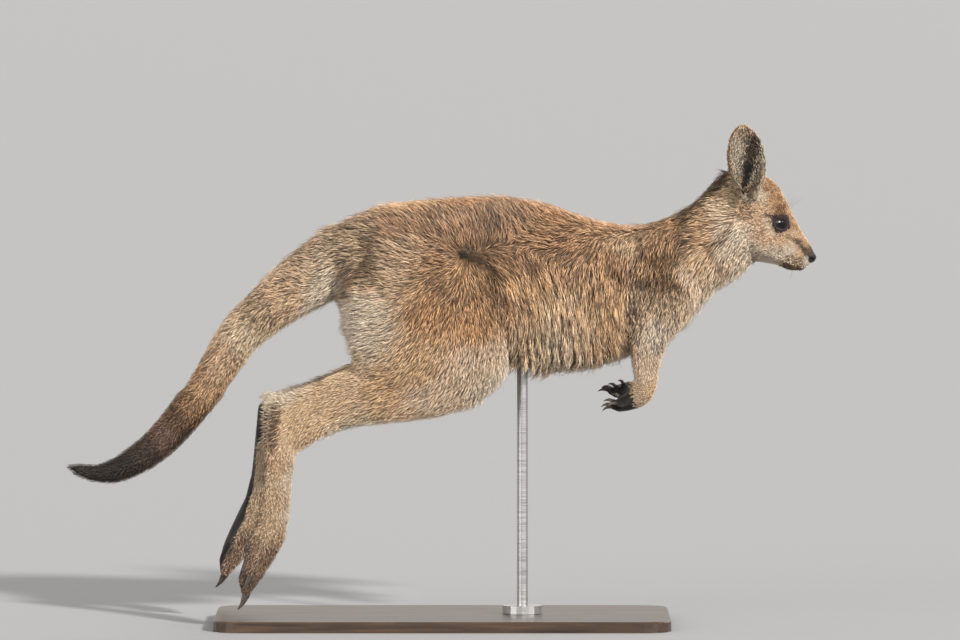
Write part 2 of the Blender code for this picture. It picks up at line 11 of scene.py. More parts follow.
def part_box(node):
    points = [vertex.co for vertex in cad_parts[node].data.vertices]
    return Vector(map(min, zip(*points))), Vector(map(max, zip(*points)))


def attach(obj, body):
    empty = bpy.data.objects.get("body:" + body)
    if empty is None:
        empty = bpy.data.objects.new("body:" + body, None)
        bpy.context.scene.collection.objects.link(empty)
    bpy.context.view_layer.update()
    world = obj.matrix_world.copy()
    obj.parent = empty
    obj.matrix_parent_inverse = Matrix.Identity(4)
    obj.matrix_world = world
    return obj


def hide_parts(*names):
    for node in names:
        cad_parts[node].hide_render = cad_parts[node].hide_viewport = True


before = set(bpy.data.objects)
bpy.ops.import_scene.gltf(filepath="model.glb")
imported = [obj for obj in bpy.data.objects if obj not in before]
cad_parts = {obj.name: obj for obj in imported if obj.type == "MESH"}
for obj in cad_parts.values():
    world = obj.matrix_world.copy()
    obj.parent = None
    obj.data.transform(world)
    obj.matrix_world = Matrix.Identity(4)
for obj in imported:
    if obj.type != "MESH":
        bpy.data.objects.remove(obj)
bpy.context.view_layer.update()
mm = 0.001
chance = np.random.default_rng(11)
print("frame loaded,", len(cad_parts), "nodes")

# camera and studio
studio = {
    "lookAt": (0.04125, 0.0, 0.3357),
    "distance": 9.0,
    "elevation": 2.5,          # degrees above the horizon
    "pictureWidth": 1.056,     # metres across at the middle of the animal
    "floorColour": (0.28, 0.287, 0.3, 1),
    "keyPower": 5.5,
    "fillPower": 1.5,
    "rimPower": 0.6,
    "skyStrength": 0.8,
    "eyeLightPower": 45.0,
}


def placed(name, data):
    made = bpy.data.objects.new(name, data)
    bpy.context.scene.collection.objects.link(made)
    return made


def makeCamera():
    camera = placed("camera", bpy.data.cameras.new("camera"))
    rise = math.radians(studio["elevation"])
    back = Vector((0, -math.cos(rise), math.sin(rise)))
    camera.location = Vector(studio["lookAt"]) + back * studio["distance"]
    camera.rotation_euler = (-back).to_track_quat("-Z", "Y").to_euler()
    camera.data.sensor_width = 36
    camera.data.lens = 36 * studio["distance"] / studio["pictureWidth"]
    camera.data.clip_end = 900
    bpy.context.scene.camera = camera


def makeLight(name, kind, place, power, target=studio["lookAt"]):
    light = placed(name, bpy.data.lights.new(name, kind))
    light.data.energy, light.location = power, place
    light.rotation_euler = (Vector(target) - light.location).to_track_quat("-Z", "Y").to_euler()
    return light


makeCamera()
# far soft lamps, so that the floor is lit evenly
for name, place, softness, colour in (("key", (1.72, -2.1, 1.72), 5, (1, 0.96, 0.89)),
                                      ("fill", (-2.0, -1.9, 1.1), 50, (1, 0.96, 0.9)),
                                      ("rim", (0.9, 2.0, 1.9), 30, (1, 0.97, 0.93))):
    light = makeLight(name + "Light", "SUN", place, studio[name + "Power"])
    light.data.angle, light.data.color = math.radians(softness), colour
# a near lamp on each side that only the eyes catch
onlyEyes = bpy.data.collections.new("onlyEyes")
for node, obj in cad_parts.items():
    if node.startswith("eye_"):
        onlyEyes.objects.link(obj)
for sign in (-1, 1):
    light = makeLight("eyeLight", "AREA", (0.03, sign * 1.46, 1.07), studio["eyeLightPower"], (0.37, 0, 0.44))
    light.data.size = 0.6
    light.light_linking.receiver_collection = onlyEyes
world = bpy.data.worlds.new("studio")
world.use_nodes = True
sky = world.node_tree.nodes["Background"].inputs
sky["Color"].default_value, sky["Strength"].default_value = (1, 0.965, 0.915, 1), studio["skyStrength"]
bpy.context.scene.world = world
bpy.context.scene.view_settings.view_transform = "Standard"


# materials
class Value:
    # a shader socket: each sign between values adds a Math node
    def __init__(self, sheet, socket):
        self.sheet, self.socket = sheet, socket

    def math(self, operation, *values):
        return self.sheet.node("ShaderNodeMath", {"operation": operation}, values)

    def __add__(self, other):
        return self.math("ADD", self, other)

    def __rsub__(self, other):
        return self.math("SUBTRACT", other, self)

    def __mul__(self, other):
        return self.math("MULTIPLY", self, other)

    __radd__ = __add__
    __rmul__ = __mul__


class Sheet:
    # one material; fixed values go on the shader's own sockets
    def __init__(self, name, **fixed):
        self.material = bpy.data.materials.new(name)
        self.material.use_nodes = True
        self.tree = self.material.node_tree
        self.shader = self.tree.nodes["Principled BSDF"]
        for socket, value in fixed.items():
            self.shader.inputs[socket.replace("_", " ")].default_value = value

    def feed(self, socket, value):
        if isinstance(value, Value):
            self.tree.links.new(value.socket, socket)
        else:
            socket.default_value = value

    def node(self, kind, settings=None, values=(), out=0):
        made = self.tree.nodes.new(kind)
        for name, value in (settings or {}).items():
            if name == "stops":
                ramp = made.color_ramp.elements
                ramp[0].position, ramp[0].color = value[0]
                ramp[1].position, ramp[1].color = value[-1]
                for place, colour in value[1:-1]:
                    ramp.new(place).color = colour
            else:
                setattr(made, name, value)
        pairs = values.items() if isinstance(values, dict) else enumerate(values)
        for key, value in pairs:
            self.feed(made.inputs[key], value)
        return Value(self, made.outputs[out])

    def stored(self, name, out=0):
        # out 0 is a colour, 2 a number
        return self.node("ShaderNodeAttribute", {"attribute_name": name}, out=out)

    def place(self, scale=(1, 1, 1)):
        spot = self.node("ShaderNodeTexCoord", out=3)
        return self.node("ShaderNodeVectorMath", {"operation": "MULTIPLY"}, [spot, scale])

    def noise(self, at, scale, detail=3, roughness=0.5):
        return self.node("ShaderNodeTexNoise", {"noise_dimensions": "3D"},
                         {"Vector": at, "Scale": scale, "Detail": detail, "Roughness": roughness})

    def fit(self, value, low, high, newLow=0, newHigh=1):
        return self.node("ShaderNodeMapRange", None, {0: value, 1: low, 2: high, 3: newLow, 4: newHigh})

    def mix(self, factor, first, second, blend="MIX"):
        return self.node("ShaderNodeMix", {"data_type": "RGBA", "blend_type": blend},
                         {0: factor, 6: first, 7: second}, out=2)

    def colour(self, value):
        self.feed(self.shader.inputs["Base Color"], value)

    def roughness(self, value):
        self.feed(self.shader.inputs["Roughness"], value)

    def bump(self, height, strength, distance):
        self.feed(self.shader.inputs["Normal"], self.node(
            "ShaderNodeBump", None, {"Height": height, "Strength": strength, "Distance": distance}))


def skinMaterial():
    made = Sheet("skin", Specular_IOR_Level=0.25)
    at = made.place()
    bare = made.stored("bare", 2)
    speckle = made.noise(at, 900, 3, 0.6)
    hide = made.mix(made.fit(speckle, 0.35, 0.65), made.stored("coatColour"), (0, 0, 0, 1))
    hide = made.mix(0.45, made.stored("coatColour"), hide)
    wear = made.fit(made.noise(at, 160, 4, 0.6), 0.3, 0.7, 0.75, 1.3)
    tone = made.node("ShaderNodeCombineColor", None, [wear] * 3)
    made.colour(made.mix(bare, hide, made.mix(1.0, made.stored("coatColour"), tone, "MULTIPLY")))
    made.roughness(0.78 - 0.38 * bare)
    pebbles = made.node("ShaderNodeTexVoronoi", {"feature": "DISTANCE_TO_EDGE"},
                        {"Vector": at, "Scale": 1100})
    creases = made.fit(pebbles, 0.0, 0.25) * bare + speckle * (1 - bare)
    made.bump(creases + 0.6 * made.noise(at, 300, 3), 0.6, 0.0005)
    return made.material


def furMaterial():
    made = Sheet("fur", Roughness=0.62, Specular_IOR_Level=0.35, Sheen_Weight=0.12, Sheen_Roughness=0.4)
    at = made.place()
    shade = made.fit(made.noise(at, 45, 4, 0.6), 0.25, 0.75, 0.84, 1.14)
    tone = made.node("ShaderNodeCombineColor", None, [shade] * 3)
    made.colour(made.mix(1.0, made.stored("coatColour"), tone, "MULTIPLY"))
    made.roughness(made.fit(made.noise(at, 400, 2), 0.3, 0.7, 0.52, 0.7))
    return made.material


def whiskerMaterial():
    made = Sheet("whisker", Specular_IOR_Level=0.5)
    bands = made.noise(made.place(), 500, 2)
    made.colour(made.mix(made.fit(bands, 0.3, 0.7), (0.03, 0.022, 0.016, 1), (0.10, 0.08, 0.06, 1)))
    made.roughness(made.fit(bands, 0.3, 0.7, 0.35, 0.5))
    return made.material


def clawMaterial():
    made = Sheet("claw", Specular_IOR_Level=0.5)
    at = made.place((1, 1, 0.22))
    streaks = made.noise(at, 1500, 3, 0.6)
    base = made.mix(made.fit(streaks, 0.35, 0.7), (0.012, 0.010, 0.009, 1), (0.065, 0.052, 0.043, 1))
    worn = made.fit(made.noise(made.place(), 500, 4, 0.65), 0.5, 0.75, 0, 0.6)
    made.colour(made.mix(worn, base, (0.14, 0.115, 0.09, 1)))
    made.roughness(made.fit(streaks, 0.3, 0.7, 0.28, 0.5))
    made.bump(streaks, 0.35, 0.0004)
    return made.material


eyes = {
    "centre": (370.5, 22.0, 443.0),
    "radius": 9.0,
    "axis": (0.22, 1.0, 0.06),       # the way the eye looks, outwards
    "tilt": -14,                     # degrees that the front corner lies below the back one
    "opening": (7.2, 4.5, 5.6),      # half length, height above the middle, height below
    "lid": 1.0,
}


def eyeMaterial(side):
    made = Sheet("eye" + side, Roughness=0.05, Specular_IOR_Level=0.5, IOR=1.38)
    x, y, z = eyes["centre"]
    sign = -1 if side == "Right" else 1
    middle = (x * mm, sign * y * mm, z * mm)
    axis = Vector((eyes["axis"][0], sign * eyes["axis"][1], eyes["axis"][2])).normalized()
    off = made.node("ShaderNodeVectorMath", {"operation": "SUBTRACT"}, [made.place(), middle])
    along = made.node("ShaderNodeVectorMath", {"operation": "NORMALIZE"}, [off])
    facing = made.node("ShaderNodeVectorMath", {"operation": "DOT_PRODUCT"}, [along, tuple(axis)], out=1)
    fibres = made.noise(made.place(), 1400, 3, 0.7)
    iris = made.mix(made.fit(fibres, 0.3, 0.7), (0.004, 0.0026, 0.002, 1), (0.011, 0.006, 0.004, 1))
    inner = made.mix(made.fit(facing, 0.86, 0.9), iris, (0.001, 0.001, 0.001, 1))
    made.colour(made.mix(made.fit(facing, 0.66, 0.60), inner, (0.007, 0.005, 0.0055, 1)))
    made.feed(made.shader.inputs["Normal"], along)      # a true ball's shine
    return made.material


def boardMaterial():
    made = Sheet("board", Specular_IOR_Level=0.45, Coat_Weight=0.25, Coat_Roughness=0.25)
    at = made.place((0.55, 9, 9))
    grain = made.noise(at, 22, 6, 0.62)
    fine = made.noise(made.place((1.5, 60, 60)), 60, 3, 0.6)
    tone = made.node("ShaderNodeValToRGB", {"stops": [
        (0.28, (0.016, 0.0085, 0.005, 1)), (0.5, (0.038, 0.02, 0.011, 1)), (0.75, (0.075, 0.041, 0.022, 1))]},
        [grain])
    made.colour(made.mix(made.fit(fine, 0.45, 0.7, 0, 0.45), tone, (0.014, 0.008, 0.005, 1)))
    made.roughness(made.fit(grain, 0.3, 0.7, 0.34, 0.46))
    made.bump(fine, 0.12, 0.0004)
    return made.material


def steelMaterial():
    made = Sheet("steel", Metallic=1.0)
    rings = made.noise(made.place((40, 40, 900)), 1.0, 2, 0.5)
    made.colour(made.mix(made.fit(rings, 0.3, 0.7), (0.42, 0.42, 0.43, 1), (0.56, 0.56, 0.57, 1)))
    made.roughness(made.fit(rings, 0.3, 0.7, 0.26, 0.38))
    made.bump(rings, 0.08, 0.0002)
    return made.material


def floorMaterial():
    made = Sheet("floor", Roughness=0.85, Specular_IOR_Level=0.2)
    made.colour(studio["floorColour"])
    return made.material


def meshObject(name, mesh, material=None):
    if material:
        mesh.materials.clear()
        mesh.materials.append(material)
    return placed(name, mesh)


def meshFrom(bm, name):
    mesh = bpy.data.meshes.new(name)
    bm.to_mesh(mesh)
    bm.free()
    return mesh


def makeFloor():
    # one level sheet that runs out past the horizon
    bm = bmesh.new()
    bmesh.ops.create_circle(bm, cap_ends=True, segments=64, radius=400)
    mesh = meshFrom(bm, "studioFloor")
    meshObject("studioFloor", mesh, floorMaterial())


makeFloor()
print("studio ready")

# colours of the coat, as screen red, green and blue
palette = {
    "warmBrown": (158, 120, 88),
    "brown": (146, 113, 86),
    "greyBrown": (146, 124, 104),
    "greyBuff": (170, 148, 124),
    "umber": (92, 66, 43),
    "chocolate": (62, 46, 35),
    "nightBrown": (38, 29, 24),
    "nape": (70, 54, 37),
    "tan": (184, 148, 112),
    "tanOrange": (184, 140, 98),
    "buff": (206, 170, 130),
    "lightBuff": (230, 196, 156),
    "ticked": (144, 110, 77),
    "paleBuff": (233, 208, 176),
    "cream": (245, 229, 207),
    "pinkCream": (243, 214, 185),
    "greyCream": (214, 198, 180),
    "rust": (182, 142, 106),
    "paleTan": (208, 176, 142),
    "greyTan": (168, 150, 128),
    "earPale": (196, 184, 166),
    "earBack": (128, 106, 84),
    "black": (20, 16, 15),
    # near black painted shade in the parting at the whorl
    "slot": (28, 20, 14),
    "earDark": (58, 44, 32),
    "lid": (46, 34, 42),
    "leather": (50, 40, 40),
    "greyLip": (212, 202, 186),
    "cheekTan": (214, 180, 148),
    "jawGrey": (238, 220, 200),
    "bridgeTan": (198, 166, 132),
    "browMark": (112, 76, 48),
    "plum": (106, 80, 70),
    "toeBrown": (132, 108, 92),
    "toeTip": (112, 90, 78),
    "haunch": (190, 164, 136),
    "topTan": (186, 150, 116),
}

# The coat by named places, one dictionary for each part of the body. Each place says where it is
# (x, distance from the midline, z, in millimetres), the way its hair lies (forwards, outwards,
# up), how long the hair is in millimetres, and its colour. Between places all of these are mixed.
trunkCoat = {
    "rump top": ((-100, 5, 450), (-0.85, 0, 0.35), 19, "greyBrown"),
    "loin top": ((-40, 5, 466), (-0.8, 0, 0.55), 19, "topTan"),
    "back top": ((40, 5, 470), (-0.7, 0, 0.7), 18, "warmBrown"),
    "chest top": ((120, 5, 458), (-0.85, 0, 0.5), 17, "warmBrown"),
    "withers": ((190, 5, 441), (-1, 0, 0.3), 15, "warmBrown"),
    "nape root": ((248, 3, 452), (-0.9, 0, -0.4), 15, "umber"),
    "nape": ((283, 3, 474), (-0.75, 0, -0.65), 14, "nape"),
    "nape top": ((305, 3, 497), (-0.6, 0, -0.8), 11, "nape"),
    "nape side": ((258, 20, 450), (-0.6, 0.1, -0.8), 14, "warmBrown"),
    "nape pale side": ((286, 24, 461), (-0.98, 0.1, 0), 13, "tan"),
    "behind ear": ((305, 24, 480), (-0.95, 0.1, -0.1), 11, "lightBuff"),
    "ruff": ((316, 30, 424), (-0.75, 0.1, -0.65), 14, "jawGrey"),
    "rump side": ((-95, 46, 415), (-0.9, 0.1, 0.1), 18, "greyBuff"),
    "by tail": ((-98, 44, 385), (-0.8, 0.1, -0.6), 17, "greyBrown"),
    "under rump": ((-104, 28, 352), (-0.8, 0, -0.6), 18, "greyBuff"),
    "tail root": ((-124, 30, 374), (-0.85, 0, -0.45), 16, "cream"),
    "seat": ((-98, 5, 330), (-0.6, 0, -0.8), 15, "greyCream"),
    "hip": ((-40, 58, 440), (-0.75, -0.2, 0.6), 18, "brown"),
    "over hip": ((5, 56, 440), (-0.55, -0.3, 0.8), 17, "brown"),
    "over whorl": ((30, 64, 424), (-0.25, -0.2, 0.95), 16, "brown"),
    "loin": ((58, 54, 438), (-0.2, -0.35, 0.9), 17, "brown"),
    "back high side": ((85, 45, 446), (-0.5, -0.3, 0.75), 17, "brown"),
    "back side": ((112, 52, 428), (-0.95, 0, 0.15), 18, "warmBrown"),
    "behind shoulder": ((145, 50, 426), (-0.75, 0, -0.6), 18, "warmBrown"),
    "before whorl": ((58, 66, 405), (0.75, 0, -0.55), 18, "ticked"),
    "parting": ((100, 64, 408), (0.3, 0, -0.7), 18, "brown"),
    "upper flank": ((112, 64, 390), (0.4, 0.1, -0.9), 24, "tan"),
    "flank": ((125, 62, 360), (0.15, 0, -1), 29, "lightBuff"),
    "lower flank": ((150, 58, 335), (0.1, 0, -1), 29, "lightBuff"),
    "low flank": ((125, 50, 315), (0.05, -0.1, -1), 30, "paleBuff"),
    "flank by thigh": ((76, 62, 370), (0.4, 0, -0.9), 24, "tan"),
    "low flank by thigh": ((80, 52, 325), (-0.1, 0, -1), 26, "lightBuff"),
    "belly by thigh": ((60, 20, 292), (-0.5, 0, -0.9), 22, "lightBuff"),
    "belly": ((130, 4, 286), (-0.55, 0, -0.85), 22, "paleBuff"),
    "belly front": ((200, 4, 300), (-0.55, 0, -0.85), 20, "paleBuff"),
    "ribs": ((175, 56, 385), (-0.05, 0, -1), 22, "tan"),
    "middle ribs": ((180, 55, 350), (0.15, 0, -1), 26, "buff"),
    "low ribs": ((188, 46, 318), (0.3, 0, -0.95), 26, "buff"),
    "shoulder band": ((188, 50, 412), (-0.2, 0.1, -0.97), 16, "warmBrown"),
    "over shoulder": ((203, 38, 426), (-0.25, 0.1, -0.95), 15, "haunch"),
    "neck base": ((242, 32, 430), (-0.15, 0.1, -0.97), 13, "brown"),
    "neck low base": ((240, 42, 410), (-0.2, 0.1, -0.97), 13, "ticked"),
    "shoulder": ((238, 47, 386), (-0.5, 0, -0.85), 14, "ticked"),
    "chest side": ((262, 38, 360), (-0.35, 0.1, -0.95), 17, "pinkCream"),
    "breast": ((284, 4, 352), (-0.45, 0, -0.9), 16, "cream"),
    "neck side": ((285, 34, 430), (-1, 0, -0.1), 17, "tan"),
    "neck low side": ((282, 34, 402), (-0.8, 0, -0.6), 16, "lightBuff"),
    "chest high side": ((274, 36, 384), (-0.5, 0, -0.87), 16, "pinkCream"),
    "throat side": ((308, 26, 398), (-0.55, 0, -0.85), 16, "pinkCream"),
    "throat": ((318, 3, 385), (-0.6, 0, -0.8), 13, "cream"),
    "neck high side": ((302, 30, 464), (-1, 0.1, 0.12), 13, "paleBuff"),
}
tailCoat = {
    "root above": ((-150, 0, 422), (-0.85, 0, 0.1), 16, "greyBrown"),
    "root side": ((-150, 32, 385), (-0.95, 0, 0.2), 15, "haunch"),
    "root by thigh": ((-115, 36, 392), (-0.8, 0, -0.4), 15, "greyBuff"),
    "below root side": ((-170, 28, 355), (-0.85, 0, -0.3), 14, "paleTan"),
    "root below": ((-135, 0, 352), (-0.8, 0, -0.6), 15, "cream"),
    "low root side": ((-122, 22, 372), (-0.85, 0, -0.45), 15, "cream"),
    "upper above": ((-215, 0, 362), (-0.66, 0, -0.75), 12, "greyBrown"),
    "high upper side": ((-200, 22, 342), (-0.66, 0, -0.75), 12, "greyBuff"),
    "upper side": ((-210, 24, 322), (-0.66, 0, -0.75), 12, "paleBuff"),
    "upper below": ((-190, 0, 305), (-0.7, 0, -0.7), 12, "paleBuff"),
    "middle above": ((-262, 0, 288), (-0.62, 0, -0.78), 9, "brown"),
    "middle side": ((-245, 19, 285), (-0.62, 0, -0.78), 9, "paleTan"),
    "below middle side": ((-262, 18, 262), (-0.62, 0, -0.78), 8, "tan"),
    "middle below": ((-232, 0, 258), (-0.62, 0, -0.78), 8, "brown"),
    "lower above": ((-290, 0, 252), (-0.68, 0, -0.73), 7, "umber"),
    "lower side": ((-276, 17, 246), (-0.68, 0, -0.73), 7, "ticked"),
    "pale end": ((-292, 16, 225), (-0.7, 0, -0.7), 6.5, "umber"),
    "lower below": ((-256, 0, 228), (-0.72, 0, -0.7), 7, "umber"),
    "dark start": ((-301, 14, 214), (-0.75, 0, -0.65), 6, "plum"),
    "dark start below": ((-282, 8, 204), (-0.75, 0, -0.65), 6, "chocolate"),
    "dark": ((-328, 12, 190), (-0.8, 0, -0.5), 6, "chocolate"),
    "dark end": ((-346, 12, 176), (-0.9, 0, -0.4), 5, "nightBrown"),
    "tip side": ((-370, 10, 167), (-1, 0, 0), 5, "nightBrown"),
    "tip": ((-404, 0, 171), (-1, 0, 0.25), 7, "nightBrown"),
}
legCoat = {
    "over whorl": ((28, 68, 425), (-0.3, -0.2, 0.95), 15, "brown"),
    "under whorl": ((26, 80, 403), (-0.15, 0, -0.97), 14, "tanOrange"),
    "before whorl": ((46, 72, 405), (0.75, 0, -0.6), 15, "ticked"),
    "behind whorl": ((8, 80, 412), (-1, 0, 0.02), 16, "brown"),
    "below behind whorl": ((-2, 84, 388), (-0.75, 0, -0.65), 15, "ticked"),
    "thigh front": ((54, 70, 375), (0.25, 0.1, -0.95), 15, "ticked"),
    "thigh top": ((-45, 80, 425), (-0.8, 0, 0.5), 17, "greyBuff"),
    "haunch side": ((-48, 82, 400), (-0.98, 0, 0.15), 17, "haunch"),
    "haunch back": ((-85, 70, 390), (-1, 0, 0.02), 18, "haunch"),
    "thigh rear": ((-84, 66, 335), (-0.98, 0, -0.1), 18, "cream"),
    "rear edge": ((-100, 45, 320), (-0.9, -0.2, -0.4), 17, "cream"),
    "low rear edge": ((-88, 40, 285), (-0.8, 0, -0.6), 14, "paleBuff"),
    "thigh middle": ((-10, 88, 350), (-0.4, 0, -0.92), 16, "tanOrange"),
    "front middle": ((40, 84, 335), (-0.1, 0, -1), 16, "tanOrange"),
    "low thigh": ((-25, 80, 290), (-0.65, 0, -0.75), 14, "buff"),
    "thigh low edge": ((-8, 66, 256), (-0.8, 0, -0.6), 13, "pinkCream"),
    "front low thigh": ((40, 72, 295), (-0.35, 0, -0.93), 13, "pinkCream"),
    "knee": ((52, 50, 275), (-0.5, 0, -0.85), 12, "cream"),
    "under thigh": ((-20, 50, 240), (-0.95, 0, -0.3), 12, "lightBuff"),
    "thigh inside": ((-15, 14, 330), (-0.5, 0, -0.85), 12, "cream"),
    "upper shank": ((-65, 70, 265), (-0.95, 0, -0.3), 12, "buff"),
    "shank top": ((-95, 45, 285), (-0.95, 0, -0.3), 11, "lightBuff"),
    "shank": ((-118, 60, 248), (-0.92, 0, -0.38), 10, "lightBuff"),
    "under shank": ((-100, 45, 220), (-0.92, 0, -0.38), 10, "paleBuff"),
    "shank inside": ((-95, 22, 250), (-0.95, 0, -0.3), 9, "cream"),
    "low shank": ((-155, 50, 232), (-0.75, 0, -0.66), 8, "lightBuff"),
    "hock back": ((-176, 40, 262), (-0.8, 0, 0.45), 10.5, "cream"),
}
footCoat = {
    "heel": ((-190, 38, 244), (-0.1, 0, -1), 4.5, "cream"),
    "heel side": ((-178, 55, 228), (-0.3, 0, -0.95), 7, "cream"),
    "instep": ((-160, 38, 215), (-0.25, 0, -0.97), 7, "cream"),
    "foot side": ((-182, 54, 180), (-0.15, 0, -1), 6, "paleTan"),
    "foot front": ((-164, 40, 165), (-0.1, 0, -1), 6, "cream"),
    "instep front": ((-150, 46, 214), (-0.2, 0, -1), 6.5, "cream"),
    "low side": ((-186, 55, 140), (-0.15, 0, -1), 5.5, "haunch"),
    "low front": ((-168, 38, 122), (-0.2, 0, -1), 5.5, "cream"),
    "side over toes": ((-190, 52, 110), (-0.25, 0, -1), 5, "haunch"),
    "toe root": ((-192, 50, 84), (-0.35, 0, -0.93), 5, "toeBrown"),
    "toe front": ((-186, 38, 76), (-0.45, 0, -0.9), 5, "toeBrown"),
    "toe": ((-210, 38, 52), (-0.45, 0, -0.9), 3.5, "toeTip"),
    "foot inside": ((-182, 22, 170), (-0.15, 0, -1), 5, "paleBuff"),
    "low inside": ((-192, 22, 125), (-0.15, 0, -1), 5, "lightBuff"),
    "foot back": ((-200, 38, 160), (-0.15, 0, -1), 4, "paleBuff"),
}
armCoat = {
    "arm top": ((245, 45, 385), (-0.3, 0.1, -0.95), 14, "ticked"),
    "below shoulder": ((244, 52, 368), (-0.2, 0, -1), 13, "greyBrown"),
    "upper arm": ((240, 55, 352), (-0.15, 0, -1), 12, "greyBuff"),
    "arm middle": ((238, 55, 332), (-0.15, 0, -1), 11, "greyCream"),
    "arm front": ((272, 38, 345), (-0.35, 0, -0.93), 11, "pinkCream"),
    "arm back": ((213, 38, 345), (0.05, 0, -1), 12, "greyBrown"),
    "elbow": ((207, 38, 314), (0.1, 0, -1), 10, "greyBuff"),
    "elbow side": ((228, 54, 314), (-0.05, 0, -1), 9, "greyCream"),
    "forearm": ((224, 50, 292), (-0.05, 0, -1), 6.5, "pinkCream"),
    "forearm front": ((240, 38, 290), (-0.15, 0, -1), 6, "pinkCream"),
    "arm inside": ((240, 22, 330), (-0.2, 0, -1), 8, "cream"),
    "wrist": ((224, 44, 268), (-0.25, 0, -0.95), 4.5, "pinkCream"),
}
handCoat = {
    "wrist": ((228, 40, 262), (-0.5, 0, -0.85), 4, "paleTan"),
    "hand back": ((216, 38, 244), (-0.9, 0, -0.4), 3.5, "greyBuff"),
    "hand side": ((212, 48, 255), (-0.9, 0, -0.4), 3.5, "greyBuff"),
    "knuckles": ((202, 40, 243), (-0.95, 0, -0.2), 2, "umber"),
    "fingers": ((190, 38, 244), (-0.95, 0, 0), 1, "black"),
}
headCoat = {
    "nose": ((408, 0, 405), (-0.5, 0, 0.8), 1, "black"),
    "nose top": ((406, 3, 412), (-0.6, 0, 0.8), 1.4, "chocolate"),
    "behind nose": ((400, 5, 421), (-0.6, 0.1, 0.8), 2.2, "bridgeTan"),
    "over nostril": ((400, 9, 411), (-0.9, 0.1, 0.3), 1.8, "umber"),
    "bridge": ((396, 0, 430), (-0.55, 0, 0.83), 2.6, "bridgeTan"),
    "snout": ((386, 0, 450), (-0.5, 0, 0.86), 2.8, "bridgeTan"),
    "bridge side": ((388, 10, 440), (-0.5, 0.2, 0.8), 2.6, "tan"),
    "brow": ((378, 3, 466), (-0.6, 0.1, 0.8), 3, "bridgeTan"),
    "over eye": ((366, 22, 464), (-0.7, 0.2, 0.6), 3, "rust"),
    "forehead": ((364, 6, 486), (-0.85, 0.1, 0.5), 3.8, "rust"),
    "crown": ((346, 4, 499), (-1, 0, 0), 4.5, "greyBuff"),
    "crown side": ((348, 20, 486), (-0.95, 0.1, 0.2), 4, "rust"),
    "head nape": ((322, 6, 499), (-0.72, 0, -0.7), 6, "nape"),
    "temple": ((350, 27, 466), (-1, 0, 0.1), 3.8, "cheekTan"),
    "behind eye": ((352, 29, 448), (-1, 0, 0), 3.8, "cheekTan"),
    "cheek whorl": ((328, 30, 456), (-1, 0, 0), 7, "tan"),
    "cheek": ((348, 29, 430), (-0.95, 0, -0.25), 4.2, "cheekTan"),
    "low cheek": ((340, 26, 412), (-0.8, 0, -0.6), 7, "jawGrey"),
    "cheek back": ((330, 30, 432), (-0.9, 0.1, -0.4), 7, "jawGrey"),
    "under eye": ((370, 24, 425), (-0.95, 0.1, 0.1), 3, "cheekTan"),
    "snout side": ((386, 15, 428), (-0.9, 0.2, 0.3), 2.4, "cheekTan"),
    "upper lip": ((390, 13, 412), (-0.95, 0.1, 0.05), 2.2, "cheekTan"),
    "jaw side": ((380, 17, 412), (-0.95, 0, -0.1), 3, "jawGrey"),
    "jaw": ((365, 20, 408), (-0.95, 0, -0.25), 4, "jawGrey"),
    "lip": ((400, 9, 400), (-0.9, 0, 0), 2, "greyCream"),
    "under jaw": ((360, 4, 398), (-0.98, 0, -0.15), 6, "cream"),
    "jaw edge": ((352, 16, 402), (-0.95, 0, -0.3), 6, "jawGrey"),
    # dark under the chin: painted shade under the lower jaw
    "chin": ((388, 3, 391), (-1, 0, 0), 3, "umber"),
    "behind jaw": ((332, 14, 398), (-0.6, 0, -0.8), 11, "cream"),
}
earCoat = {
    "front root": ((345, 22, 485), (-0.3, 0, 0.95), 4.5, "greyTan"),
    "back root": ((318, 24, 485), (-0.3, 0, 0.95), 6, "earBack"),
    "front rim": ((350, 28, 515), (-0.15, 0.1, 1), 3.5, "earPale"),
    "back rim": ((312, 28, 515), (-0.1, 0.1, 1), 3.5, "ticked"),
    "ear back": ((330, 18, 510), (-0.1, 0, 1), 4.5, "earBack"),
    "tip": ((329, 33, 548), (0, 0.1, 1), 2, "ticked"),
}
coat = {"trunk": trunkCoat, "tail": tailCoat, "leg": legCoat, "foot": footCoat, "arm": armCoat,
        "hand": handCoat, "head": headCoat, "ear": earCoat}
groups = list(coat)
partGroups = {"neck": "trunk", "thigh": "leg", "shank": "leg", "upper": "arm", "forearm": "arm", "nose": "head",
              "eye": "head"}

